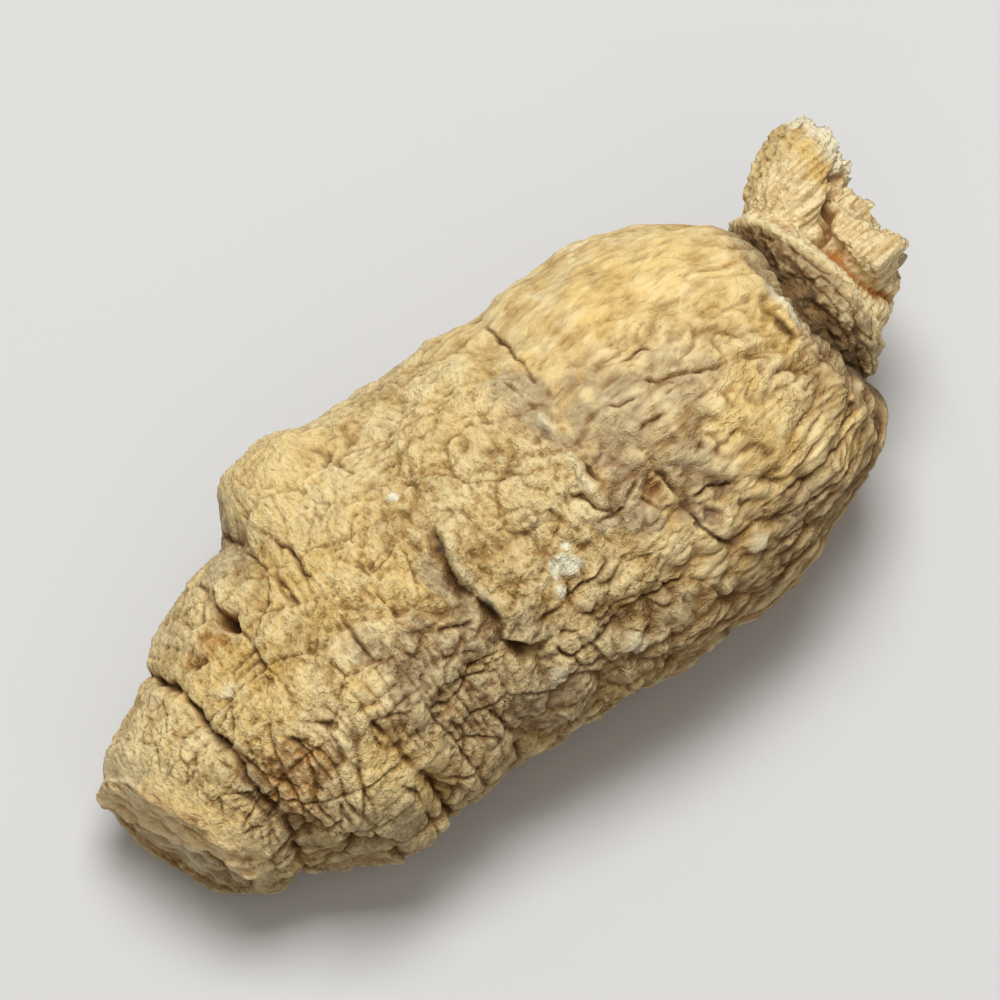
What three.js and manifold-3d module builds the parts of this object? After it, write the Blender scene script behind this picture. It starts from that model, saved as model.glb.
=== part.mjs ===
// Dried ginseng root: the thick ringed main root, cut across at its tail, with the
// stump of the broken neck at its crown. It grew as one piece, so it is one solid.
//
// Millimetres, +Z up. The root lies on the floor (z = 0) along X, crown towards +X.
// A place on its skin is given by x, and by an angle round the root: 0 degrees is
// the +Y side, 90 the top, 180 the -Y side and 270 the underside.

import * as THREE from "three";
import { mergeVertices } from "three/addons/utils/BufferGeometryUtils.js";
import Module from "manifold-3d";

// ---- Driving dimensions ----

const BODY_LENGTH = 51; // from the tail cut to the groove under the neck
const NECK_LENGTH = 7; // from that groove to the broken end
const BODY_WIDTH = 24.6; // at the thickest place, near the crown
const FLATNESS = 0.93; // height of a section over its width, as the root dried flat
const REST_DEPTH = 0.45; // how much of the underside is pressed flat by the floor

const SIDES = 56; // facets round the skin
const RINGS = 64; // rows of facets along it
const CUT_RINGS = 3; // rows of facets on each end

// ---- Sections ----
// along: fraction of the body's or the neck's length, width: fraction of BODY_WIDTH,
// side: offset of the middle towards +Y, lift: height of the lowest point, in mm.

const BODY_SECTIONS = [
  { along: 0.0, width: 0.46, side: 0.3, lift: 1.7 },
  { along: 0.1, width: 0.575, side: 1.2, lift: 1.0 },
  { along: 0.18, width: 0.79, side: 0.5, lift: 0.2 },
  { along: 0.28, width: 0.85, side: 0.4, lift: 0.0 },
  { along: 0.42, width: 0.91, side: 1.0, lift: 0.0 },
  { along: 0.56, width: 0.965, side: 0.1, lift: 0.0 },
  { along: 0.72, width: 1.0, side: -0.5, lift: 0.0 },
  { along: 0.83, width: 0.95, side: -0.6, lift: 0.4 },
  { along: 0.91, width: 0.83, side: -0.8, lift: 1.6 },
  { along: 0.97, width: 0.68, side: -1.1, lift: 3.3 },
  { along: 1.0, width: 0.52, side: -0.6, lift: 5.3 },
];

const NECK_SECTIONS = [
  { along: 0.25, width: 0.5, side: 0.9, lift: 6.0 },
  { along: 0.5, width: 0.49, side: 1.8, lift: 6.8 },
  { along: 0.75, width: 0.43, side: 2.8, lift: 8.0 },
  { along: 0.92, width: 0.36, side: 3.2, lift: 9.2 },
  { along: 1.0, width: 0.27, side: 3.4, lift: 10.2 },
];

const CROWN_X = 22.5; // the groove under the neck
const TAIL_X = CROWN_X - BODY_LENGTH;
const END_X = CROWN_X + NECK_LENGTH;
const TAIL_CUT_LEAN = 0.07; // the tail cut leans back, so its top edge lies further in
const TAIL_CUT_SKEW = 0.24; // and it runs askew, so its -Y edge lies further in

// ---- Marks on the skin: x, angle and size in mm and degrees ----

const RING_GROOVES = [
  { x: -23.4, depth: 0.9, breadth: 0.8 },
  { x: -18.8, depth: 0.35, breadth: 0.5 },
  { x: -15.2, depth: 0.7, breadth: 0.7 },
  { x: -10.6, depth: 0.35, breadth: 0.6 },
  { x: 3.2, depth: 0.35, breadth: 0.7 },
  { x: CROWN_X, depth: 0.9, breadth: 0.7 },
];

const LUMPS = [
  { x: -10.6, angle: 22, height: 2.6, length: 2.2, spread: 16 }, // the knob
  { x: -6.5, angle: 24, height: 1.0, length: 3.2, spread: 16 }, // its low shoulder
  { x: 8.2, angle: 200, height: 0.5, length: 1.6, spread: 8 }, // root scar
  { x: -4.0, angle: 215, height: 0.6, length: 1.8, spread: 9 },
  { x: 27.0, angle: 40, height: 0.9, length: 2.4, spread: 34 }, // lobe of the neck
  { x: 25.8, angle: 150, height: 0.8, length: 1.8, spread: 26 }, // broken fibres
  { x: -20.0, angle: 300, height: 0.7, length: 2.0, spread: 14 },
  { x: 10.0, angle: 330, height: 0.8, length: 2.4, spread: 12 },
];

const SKIN_STEP = { x: -6.9, height: 0.8, breadth: 0.5, from: 60, to: 170 };

const WRINKLE_DEPTH = 0.28; // the long drying wrinkles
const WRINKLES_ROUND = 13;
const DRYING_WAVE = 0.3; // slow uneven shrinkage of the whole skin
const PRESSED_ANGLE = 35; // the floor side is pressed, so its wrinkles are lower

// ---- Helpers ----

const bell = (distance) => Math.exp(-distance * distance);

function angleBetween(a, b) {
  const turn = (((a - b) % 360) + 540) % 360;
  return turn - 180;
}

/** All sections from tail to tip, with x, half width, half height and middle in mm. */
function allSections() {
  const placed = (list, start, length) =>
    list.map(({ along, width, side, lift }) => {
      const halfWidth = (width * BODY_WIDTH) / 2;
      const halfHeight = halfWidth * FLATNESS;
      return { x: start + along * length, halfWidth, halfHeight, side, middle: lift + halfHeight };
    });
  return [...placed(BODY_SECTIONS, TAIL_X, BODY_LENGTH), ...placed(NECK_SECTIONS, CROWN_X, NECK_LENGTH)];
}

/** Smooth curves through the sections, read at any x. */
function sectionCurves() {
  const sections = allSections();
  const widthAndHeight = sections.map((s) => new THREE.Vector3(s.x, s.halfWidth, s.halfHeight));
  const middles = sections.map((s) => new THREE.Vector3(s.x, s.side, s.middle));
  const steps = 12 * sections.length;
  const sizes = new THREE.CatmullRomCurve3(widthAndHeight, false, "centripetal").getPoints(steps);
  const line = new THREE.CatmullRomCurve3(middles, false, "centripetal").getPoints(steps);
  const read = (points, x) => {
    const last = points.length - 1;
    const next = Math.max(1, points.findIndex((p, i) => p.x >= x || i === last));
    const [a, b] = [points[next - 1], points[next]];
    const mix = THREE.MathUtils.clamp((x - a.x) / (b.x - a.x), 0, 1);
    return new THREE.Vector3().lerpVectors(a, b, mix);
  };
  return (x) => {
    const size = read(sizes, x);
    const middle = read(line, x);
    return { halfWidth: size.y, halfHeight: size.z, side: middle.y, middle: middle.z };
  };
}

/** How far the skin stands out from the smooth section at one place, in mm. */
function relief(x, angle) {
  let out = 0;
  const radians = THREE.MathUtils.degToRad(angle);
  for (const groove of RING_GROOVES) {
    const wander = 0.5 * Math.sin(2 * radians + groove.x);
    const strength = 0.75 + 0.25 * Math.sin(3 * radians + 1.7 * groove.x);
    out -= groove.depth * strength * bell((x - groove.x - wander) / groove.breadth);
  }
  for (const lump of LUMPS) {
    const around = angleBetween(angle, lump.angle) / lump.spread;
    out += lump.height * bell((x - lump.x) / lump.length) * bell(around);
  }
  const onStep = THREE.MathUtils.smoothstep(angle, SKIN_STEP.from, SKIN_STEP.from + 20) *
    (1 - THREE.MathUtils.smoothstep(angle, SKIN_STEP.to - 20, SKIN_STEP.to));
  const past = (x - SKIN_STEP.x) / SKIN_STEP.breadth;
  const stepShape = past > 0 ? bell(past / 6) : -0.4 * bell(past);
  out += SKIN_STEP.height * onStep * stepShape;
  out += WRINKLE_DEPTH * Math.sin(WRINKLES_ROUND * radians + 0.35 * x + 1.2 * Math.sin(0.23 * x));
  out += DRYING_WAVE * Math.sin(0.62 * x + 2 * radians) * Math.cos(3 * radians - 0.2 * x);
  return out * (1 - 0.8 * bell(angleBetween(angle, 270) / PRESSED_ANGLE));
}

// ---- The root ----

/**
 * A lathe blank of radius 1: its height is the place along the root, and the radius
 * falls to 0 across each end. Every vertex is then carried to its place on the skin.
 */
function rootBlank() {
  const profile = [];
  for (let i = 0; i < CUT_RINGS; i++) profile.push(new THREE.Vector2(i / CUT_RINGS, TAIL_X));
  for (let i = 0; i <= RINGS; i++) {
    profile.push(new THREE.Vector2(1, THREE.MathUtils.lerp(TAIL_X, END_X, i / RINGS)));
  }
  for (let i = CUT_RINGS - 1; i >= 0; i--) profile.push(new THREE.Vector2(i / CUT_RINGS, END_X));
  const blank = new THREE.LatheGeometry(profile, SIDES);
  blank.deleteAttribute("normal");
  blank.deleteAttribute("uv");
  return mergeVertices(blank, 1e-4);
}

function shapeRoot(blank) {
  const sectionAt = sectionCurves();
  const position = blank.getAttribute("position");
  for (let i = 0; i < position.count; i++) {
    const x = position.getY(i);
    const fraction = Math.hypot(position.getX(i), position.getZ(i));
    const radians = Math.atan2(position.getX(i), position.getZ(i));
    const angle = (THREE.MathUtils.radToDeg(radians) + 360) % 360;
    const section = sectionAt(x);
    const out = relief(x, angle);
    const acrossY = Math.cos(radians) * (section.halfWidth + out) * fraction;
    const acrossZ = Math.sin(radians) * (section.halfHeight + out) * fraction;
    const tail = 1 - THREE.MathUtils.smoothstep(x, TAIL_X, TAIL_X + 4);
    const dome = x === END_X ? 0.6 * (1 - fraction) : 0;
    const tailShift = TAIL_CUT_LEAN * acrossZ - TAIL_CUT_SKEW * acrossY;
    const placedX = x + tail * tailShift + dome;
    position.setXYZ(i, placedX, section.side + acrossY, section.middle + acrossZ);
  }
  return blank;
}

/** The root with its underside pressed flat where it lies on the floor. */
async function restOnFloor(geometry) {
  const wasm = await Module();
  wasm.setup();
  const toSolid = (shape) =>
    new wasm.Manifold(
      new wasm.Mesh({
        numProp: 3,
        vertProperties: new Float32Array(shape.getAttribute("position").array),
        triVerts: new Uint32Array(shape.index.array),
      }),
    );
  const floorSize = 4 * (BODY_LENGTH + NECK_LENGTH);
  const floor = new THREE.BoxGeometry(floorSize, floorSize, floorSize);
  floor.deleteAttribute("normal");
  floor.deleteAttribute("uv");
  floor.translate(0, 0, REST_DEPTH - floorSize / 2);
  const cut = toSolid(geometry).subtract(toSolid(mergeVertices(floor)));
  const mesh = cut.getMesh();
  const rested = new THREE.BufferGeometry();
  rested.setAttribute("position", new THREE.BufferAttribute(mesh.vertProperties, 3));
  rested.setIndex(new THREE.BufferAttribute(mesh.triVerts, 1));
  return rested;
}

/** Moves the root so that the middle of its box's underside is the origin. */
function centreOnOrigin(geometry) {
  geometry.computeBoundingBox();
  const { min, max } = geometry.boundingBox;
  return geometry.translate(-(min.x + max.x) / 2, -(min.y + max.y) / 2, -min.z);
}

const driedSkin = new THREE.MeshStandardMaterial({ color: 0xc9a873, roughness: 0.85, metalness: 0 });
const root = new THREE.Mesh(centreOnOrigin(await restOnFloor(shapeRoot(rootBlank()))), driedSkin);
root.name = "ginseng_root";
root.geometry.computeVertexNormals();

const part = new THREE.Group();
part.add(root);

export default part;
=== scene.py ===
"""A dried ginseng root lying on a pale floor.

The root is one natural piece: a thick, ringed and wrinkled main root, cut across at
its tail, with the stump of the broken neck at its crown. Its place and size come from
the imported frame. Sizes inside this file are in millimetres and become metres when a
mesh is written. A place on the skin is given by x along the root and by an angle
round it: 0 degrees is the +Y side, 90 the top, 180 the -Y side, 270 the underside.
"""

import logging
import math
from dataclasses import dataclass, field, replace
from enum import Enum
from typing import Sequence

import bpy
import numpy as np
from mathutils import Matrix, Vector

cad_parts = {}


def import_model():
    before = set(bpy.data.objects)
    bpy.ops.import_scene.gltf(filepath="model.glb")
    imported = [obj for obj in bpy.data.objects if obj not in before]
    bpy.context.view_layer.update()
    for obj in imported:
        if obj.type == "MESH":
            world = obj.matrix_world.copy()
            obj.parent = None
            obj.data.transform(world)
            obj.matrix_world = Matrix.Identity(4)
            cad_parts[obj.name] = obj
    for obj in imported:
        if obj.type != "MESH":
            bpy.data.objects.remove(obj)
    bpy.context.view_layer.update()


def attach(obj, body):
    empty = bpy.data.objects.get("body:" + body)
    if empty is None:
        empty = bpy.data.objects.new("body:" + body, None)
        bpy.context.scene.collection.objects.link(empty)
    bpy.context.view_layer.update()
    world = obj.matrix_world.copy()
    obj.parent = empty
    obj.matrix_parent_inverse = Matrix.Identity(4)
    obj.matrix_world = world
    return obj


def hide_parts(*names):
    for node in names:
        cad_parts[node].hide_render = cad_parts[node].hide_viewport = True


LOG = logging.getLogger("ginseng_root")
MM = 0.001
ROOT_BODY = "root"
ROOT_NODE = "ginseng_root"
FULL_TURN = 360.0
FAR = 1e3

# Sockets of a mix node by number, because several of them share a name.
MIX_FACTOR = 0
MIX_FLOATS = (2, 3)
MIX_COLOURS = (6, 7)
MIX_COLOUR_OUT = 2

Array = np.ndarray
Piece = bpy.types.Object
Tree = bpy.types.NodeTree
Socket = bpy.types.NodeSocket
Triple = tuple[float, float, float]
Knots = tuple[tuple[float, float], ...]

# --- Random fields ---


class Noise:
    """Smooth random fields in space, the same on every run for the same seed."""

    TABLE = 256
    LAYER_SHIFT = 17.3
    VECTOR_SHIFTS = ((0.0, 0.0, 0.0), (31.4, 7.7, 2.2), (5.1, 47.3, 19.8))

    def __init__(self, seed: int) -> None:
        """Draws the field's tables.

        Args:
            seed: number that names the field.
        """
        draw = np.random.default_rng(seed)
        order = draw.permutation(self.TABLE)
        self.order = np.concatenate([order, order])
        slopes = draw.normal(size=(self.TABLE, 3))
        self.slopes = slopes / np.linalg.norm(slopes, axis=1, keepdims=True)
        self.slopes = self.slopes.astype(np.float32)
        self.jitter = draw.random((self.TABLE, 3)).astype(np.float32)

    def _hash(self, cell: Array) -> Array:
        """Returns the table entry of each whole-number cell."""
        cell = cell & (self.TABLE - 1)
        return self.order[self.order[self.order[cell[:, 0]] + cell[:, 1]] + cell[:, 2]]

    def at(self, points: Array) -> Array:
        """Gradient noise, about -0.6 to 0.6, with features about one unit apart.

        Args:
            points: places to read, one row each.

        Returns:
            One value for each row.
        """
        points = points.astype(np.float32)
        floor = np.floor(points)
        cell = floor.astype(np.int64)
        part = points - floor
        ease = part * part * part * (part * (part * 6 - 15) + 10)
        total = np.zeros(len(points), np.float32)
        for corner in np.ndindex(2, 2, 2):
            step = np.array(corner[::-1])
            slope = self.slopes[self._hash(cell + step)]
            value = ((part - step.astype(np.float32)) * slope).sum(1)
            total += value * np.where(step, ease, 1 - ease).prod(1)
        return total

    def layered(self, points: Array, layers: int, gain: float = 0.5) -> Array:
        """Sums layers of noise, each at half the size of the one before.

        Args:
            points: places to read.
            layers: how many sizes are summed.
            gain: strength of each layer over the one before it.

        Returns:
            One value for each row of points.
        """
        total = np.zeros(len(points), np.float32)
        strength = 1.0
        for layer in range(layers):
            total += strength * self.at(points * 2.0**layer + self.LAYER_SHIFT * layer)
            strength *= gain
        return total

    def vector(self, points: Array) -> Array:
        """Returns three independent noise values for each row of points."""
        return np.stack([self.at(points + np.array(s, np.float32)) for s in self.VECTOR_SHIFTS], 1)

    def plates(self, points: Array) -> tuple[Array, Array, Array]:
        """Splits space into cells round randomly scattered centres about one unit apart.

        Args:
            points: places to read.

        Returns:
            For each row of points, the distance to the nearest edge between two cells, a
            height on a flat plate that tilts its own way in each cell, and a random
            value of the cell from 0 to 1.
        """
        points = points.astype(np.float32)
        cell = np.floor(points).astype(np.int64)
        part = points - cell.astype(np.float32)
        nearest = np.full(len(points), FAR, np.float32)
        centre = np.zeros_like(points)
        tilt = np.zeros(len(points), np.float32)
        value = np.zeros(len(points), np.float32)
        gaps = []
        for step in [np.array(shift) - 1 for shift in np.ndindex(3, 3, 3)]:
            entry = self._hash(cell + step)
            gap = step.astype(np.float32) + self.jitter[entry] - part
            gaps.append(gap)
            distance = (gap * gap).sum(1)
            closer = distance < nearest
            nearest = np.where(closer, distance, nearest)
            centre[closer] = gap[closer]
            tilt = np.where(closer, (gap * self.slopes[entry]).sum(1), tilt)
            value = np.where(closer, entry / self.TABLE, value)
        edge = np.full(len(points), FAR, np.float32)
        for gap in gaps:
            apart = gap - centre
            length = np.sqrt((apart * apart).sum(1))
            reach = ((gap + centre) * apart).sum(1) / (2 * np.maximum(length, 1e-4))
            edge = np.where(length > 1e-3, np.minimum(edge, reach), edge)
        return edge, tilt, value


@dataclass(frozen=True)
class Pattern:
    """A random field at a real size on the root.

    Attributes:
        seed: number that names it.
        along: how far apart its features are along the root.
        around: how far apart they are across the root; 0 for the same as along.
        layers: how many sizes it sums, each half the one before.
        gain: strength of each layer over the one before it.
        strength: what its values are multiplied by.
    """

    seed: int
    along: float
    around: float = 0.0
    layers: int = 1
    gain: float = 0.5
    strength: float = 1.0

    def _placed(self, points: Array) -> Array:
        """Returns the points in units of the pattern's own size."""
        size = [self.along, self.around, self.around]
        return points / (np.array(size) if self.around else self.along)

    def at(self, points: Array) -> Array:
        """Returns the pattern's value at each of the points."""
        return self.strength * Noise(self.seed).layered(self._placed(points), self.layers, self.gain)

    def vector(self, points: Array) -> Array:
        """Returns three independent values at each of the points, without layers."""
        return self.strength * Noise(self.seed).vector(self._placed(points))

    def plates(self, points: Array) -> tuple[Array, Array, Array]:
        """Returns the edge, tilt and value of the pattern's plates at each of the points."""
        return Noise(self.seed).plates(self._placed(points))


def smooth_step(value: Array, low: float, high: float) -> Array:
    """Rises smoothly from 0 at low to 1 at high."""
    t = np.clip((value - low) / (high - low), 0.0, 1.0)
    return t * t * (3 - 2 * t)


def bell(distance: Array) -> Array:
    """Falls from 1 at distance 0 to about 0 at distance 2."""
    return np.exp(-distance * distance)


def turn_between(a: Array, b: float) -> Array:
    """The signed turn from angle b to angle a, in degrees, from -180 to 180."""
    return (a - b + FULL_TURN / 2) % FULL_TURN - FULL_TURN / 2


def along_knots(x: Array, knots: Knots) -> Array:
    """Reads a line drawn through knots of x and value, level beyond both ends."""
    return np.interp(x, *zip(*knots))


def round_knots(angle: Array, knots: Knots) -> Array:
    """Reads a line drawn through knots of angle and value, all the way round."""
    return np.interp(angle, *zip(*knots), period=FULL_TURN)


# --- The root's smooth form ---


@dataclass(frozen=True)
class Ring:
    """One ring of a lofted shape, square to the x axis.

    Attributes:
        x: place of its middle along the root.
        y: place of its middle across.
        z: height of its middle.
        wide: half its width.
        high: half its height.
    """

    x: float
    y: float
    z: float
    wide: float
    high: float

    def middle(self) -> Vector:
        """The middle of the ring, in metres."""
        return Vector((self.x, self.y, self.z)) * MM


@dataclass(frozen=True)
class RootForm:
    """The smooth form that the skin is laid over: the same sections as the frame's.

    Attributes:
        body_length: length of the main root, from the tail to the crown.
        neck_length: length of the neck beyond the crown.
        body_width: width of the main root at its thickest.
        flatness: height of a section over its width.
        crown_x: place of the crown.
        tail_lean: how far the tail cut leans back, as a slope.
        tail_skew: how far the tail cut is turned, as a slope.
        to_row: from the form's own place to the frame's, where the underside is
            pressed flat on the floor.
        body: for each section, its place as a share of the body's length, its width as
            a share of the body's, the offset of its middle towards +Y, and the height
            of its lowest point.
        neck: the same for the neck, with places as a share of the neck's length.
    """

    body_length: float = 51.0
    neck_length: float = 7.0
    body_width: float = 24.6
    flatness: float = 0.93
    crown_x: float = 22.5
    tail_lean: float = 0.07
    tail_skew: float = 0.26
    to_row: Triple = (-0.062, -0.045, -0.45)
    body: tuple[tuple[float, float, float, float], ...] = (
        (0.0, 0.46, 0.3, 1.7),
        (0.1, 0.575, 1.2, 1.0),
        (0.18, 0.79, 0.5, 0.2),
        (0.28, 0.85, 0.4, 0.0),
        (0.42, 0.91, 1.0, 0.0),
        (0.56, 0.965, 0.1, 0.0),
        (0.72, 1.0, -0.5, 0.0),
        (0.83, 0.95, -0.6, 0.4),
        (0.91, 0.83, -0.8, 1.6),
        (0.97, 0.68, -1.1, 3.3),
        (1.0, 0.52, -0.6, 5.3),
    )
    neck: tuple[tuple[float, float, float, float], ...] = (
        (0.25, 0.5, 0.9, 6.0),
        (0.5, 0.49, 1.8, 6.8),
        (0.75, 0.43, 2.8, 8.0),
        (0.92, 0.36, 3.2, 9.2),
        (1.0, 0.27, 3.4, 10.2),
    )

    def rings(self) -> list[Ring]:
        """Works out the sections.

        Returns:
            A ring for each section, from the tail to the broken end.
        """
        tail_x = self.crown_x - self.body_length
        placed = [(tail_x + a * self.body_length, w, s, l) for a, w, s, l in self.body]
        placed += [(self.crown_x + a * self.neck_length, w, s, l) for a, w, s, l in self.neck]
        rings = []
        for x, share, side, lift in placed:
            wide = share * self.body_width / 2
            high = wide * self.flatness
            rings.append(Ring(x, side, lift + high, wide, high))
        return rings

    def curves(self, x: Array) -> tuple[Array, Array, Array]:
        """Reads the form at any x.

        Args:
            x: places along the root.

        Returns:
            Half width, side offset and height of the middle at each x.
        """
        rings = self.rings()
        knots = np.array([ring.x for ring in rings])
        columns = ([r.wide for r in rings], [r.y for r in rings], [r.z for r in rings])
        wide, side, middle = [smooth_curve(knots, np.array(column), x) for column in columns]
        return wide, side, middle


def smooth_curve(knots: Array, values: Array, x: Array) -> Array:
    """A cubic curve through the given values that never overshoots them.

    Args:
        knots: places of the values, in rising order.
        values: the values there.
        x: places to read.

    Returns:
        The curve's value at each x.
    """
    gap = np.diff(knots)
    rise = np.diff(values) / gap
    slope = np.zeros(len(knots))
    same = rise[1:] * rise[:-1] > 0
    slope[1:-1][same] = 2 * rise[1:][same] * rise[:-1][same] / (rise[1:] + rise[:-1])[same]
    slope[0], slope[-1] = rise[0], rise[-1]
    at = np.clip(np.searchsorted(knots, x) - 1, 0, len(gap) - 1)
    t = np.clip((x - knots[at]) / gap[at], 0, 1)
    start = (1 + 2 * t) * (1 - t) ** 2 * values[at] + t * (1 - t) ** 2 * gap[at] * slope[at]
    return start + t * t * (3 - 2 * t) * values[at + 1] + t * t * (t - 1) * gap[at] * slope[at + 1]


# --- Marks on the skin ---

Route = Sequence[tuple[float, float]]


@dataclass(frozen=True)
class Crease:
    """A fold or crack in the skin.

    Attributes:
        route: places that it runs through, as x and angle.
        depth: how far it goes in.
        breadth: half its width.
        lip: how far the skin beside it stands up.
        ends: length over which it fades out at each end.
    """

    route: Route
    depth: float
    breadth: float
    lip: float = 0.0
    ends: float = 1.0


@dataclass(frozen=True)
class Step:
    """A skin edge that overlaps the skin on its tail side.

    Attributes:
        route: places that it runs through, as x and angle.
        height: how far it stands over the skin under it.
        reach: length over which it falls back to the skin on the crown side.
        ends: length over which it fades out at each end.
    """

    route: Route
    height: float
    reach: float
    ends: float = 1.5


@dataclass(frozen=True)
class Lump:
    """A bump, or a hollow where the height is negative.

    Attributes:
        x: place of its middle along the root.
        angle: place of its middle round the root.
        height: how far it stands out.
        along: half its length along the root.
        around: half its width round the root.
        flat: 1 for a round top, more for a flat top with steep sides.
        dark: how dark it is inside, as painted shade; a torn hole is over 1.
    """

    x: float
    angle: float
    height: float
    along: float
    around: float
    flat: float = 1.0
    dark: float = 0.0


@dataclass(frozen=True)
class Family:
    """A family of marks that cover a part of the skin at random.

    Attributes:
        seed: number of the family's random field.
        along: spacing of the marks along the root.
        around: spacing of the marks round the root.
        parts: strength at the tail, the middle and the crown.
        flanks: strength on the smooth flank, the top, the low flank and the underside.
        dark: how dark the folds or cracks are made, with dirt and painted shade.
    """

    PART_PLACES = (-15.0, -2.0, 9.0)
    FLANK_ANGLES = (50, 115, 172, 270)

    seed: int
    along: float
    around: float
    parts: Triple
    flanks: tuple[float, float, float, float]
    dark: float

    def size(self) -> Array:
        """Returns the spacing along x, y and z of the unrolled skin."""
        return np.array([self.along, self.around, self.around])

    def share(self, skin: "Skin") -> Array:
        """Works out how strong the family is at each place.

        Args:
            skin: the places.

        Returns:
            The strength, 1 for full.
        """
        lengthwise = np.interp(skin.x + skin.stray, self.PART_PLACES, self.parts)
        turned = skin.angle + 6 * skin.stray
        return lengthwise * np.interp(turned, self.FLANK_ANGLES, self.flanks, period=FULL_TURN)


@dataclass(frozen=True)
class Wrinkles(Family):
    """Drying wrinkles that run much the same way.

    Attributes:
        depth: how far the folds go in.
        lap: how far one side of a fold stands over the other, as a share of the depth.
        broken: 0 for folds that run on, 1 for folds in short pieces.
    """

    depth: float
    lap: float = 0.35
    broken: float = 0.6


@dataclass(frozen=True)
class Plates(Family):
    """Plates that the skin cracks and buckles into, each tilted its own way.

    Attributes:
        tilt: how far a plate's edge stands over its middle.
        gap: depth of the cracks between the plates.
    """

    tilt: float
    gap: float


WRINKLES = (
    Wrinkles(101, 8.0, 1.75, (0.0, 0.2, 1.0), (0.12, 0.7, 1.1, 0.7), 0.9, 0.3, broken=0.55),
    Wrinkles(102, 3.2, 0.8, (0.2, 0.4, 1.0), (0.35, 0.9, 0.9, 0.7), 0.9, 0.22, broken=0.8),
    Wrinkles(103, 1.9, 1.6, (0.3, 1.0, 0.3), (0.5, 1.0, 0.7, 0.5), 0.9, 0.34, lap=0.5),
    Wrinkles(104, 0.9, 5.0, (1.0, 0.3, 0.0), (0.6, 0.9, 1.2, 0.8), 0.9, 0.28, broken=0.8),
    Wrinkles(107, 6.0, 0.9, (0.2, 0.7, 1.0), (0.0, 0.1, 1.2, 0.5), 0.9, 0.26, broken=0.4),
    Wrinkles(108, 1.5, 0.42, (0.5, 0.7, 0.9), (0.4, 0.9, 1.0, 0.8), 0.6, 0.1, broken=0.5),
    Wrinkles(109, 5.0, 3.4, (0.7, 1.0, 0.8), (0.3, 1.0, 1.1, 0.7), 0.5, 0.5, lap=0.5),
)

PLATES = (
    Plates(121, 3.0, 2.6, (1.0, 0.7, 0.0), (0.7, 1.0, 1.3, 0.7), 0.9, 0.34, 0.3),
    Plates(122, 1.9, 1.5, (0.6, 1.0, 0.3), (0.4, 0.9, 0.8, 0.5), 0.8, 0.18, 0.14),
    Plates(123, 5.5, 1.4, (0.0, 0.2, 1.0), (0.1, 0.8, 1.2, 0.7), 0.8, 0.18, 0.12),
    Plates(124, 0.95, 0.7, (1.0, 1.0, 0.7), (0.5, 0.9, 0.5, 0.4), 0.4, 0.08, 0.04),
)


class Tone(Enum):
    """What a stain does to the colour of the skin."""

    GREY = "grey"
    OCHRE = "ochre"
    RUST = "rust"
    PALE = "pale"


@dataclass(frozen=True)
class Stain:
    """A patch of another colour.

    Attributes:
        x: place of its middle along the root.
        angle: place of its middle round the root.
        along: half its length along the root.
        around: half its width round the root.
        strength: how strong its colour is in the middle.
    """

    x: float
    angle: float
    along: float
    around: float
    strength: float


RING_CREASES = (
    Crease([(-22.6, 20), (-22.7, 59), (-23.1, 90), (-23.3, 126), (-23.2, 170), (-22.9, 230),
            (-22.4, 300), (-22.6, 380)], 0.7, 0.3, 0.14),
    Crease([(-17.0, 20), (-18.1, 56), (-18.6, 78), (-19.0, 104)], 0.22, 0.18),
    Crease([(-17.6, 200), (-17.9, 250), (-17.0, 300), (-17.2, 350)], 0.4, 0.25),
    Crease([(-13.6, 10), (-14.2, 39), (-14.6, 63), (-14.8, 78)], 0.3, 0.2),
    Crease([(-12.6, 30), (-12.9, 50), (-13.1, 68), (-13.6, 86), (-14.1, 110)], 0.35, 0.2),
    Crease([(-16.2, 120), (-15.9, 137), (-15.3, 151), (-14.8, 165), (-14.6, 200), (-15.0, 250),
            (-14.2, 300), (-13.4, 350)], 0.8, 0.32, 0.1),
    Crease([(-16.9, 144), (-16.2, 166), (-15.9, 186)], 0.35, 0.18),
    Crease([(-13.3, 126), (-13.0, 144), (-12.2, 168), (-12.0, 200)], 0.45, 0.2),
    Crease([(-10.8, 120), (-10.2, 138), (-9.9, 152), (-9.2, 170), (-9.0, 215), (-9.6, 260)], 0.5, 0.22),
    Crease([(5.7, 30), (4.9, 52), (4.5, 63), (4.0, 74)], 0.35, 0.2),
    Crease([(3.0, 63), (3.0, 76), (3.8, 82)], 0.4, 0.2),
    Crease([(2.5, 84), (2.1, 92)], 0.7, 0.26),
    Crease([(5.9, 104), (5.9, 115), (6.1, 126), (6.2, 138), (6.8, 147), (7.8, 153)], 0.6, 0.24, 0.08),
    Crease([(5.2, 200), (4.6, 240), (5.4, 290), (5.8, 340), (5.7, 390)], 0.4, 0.26),
)

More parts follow.
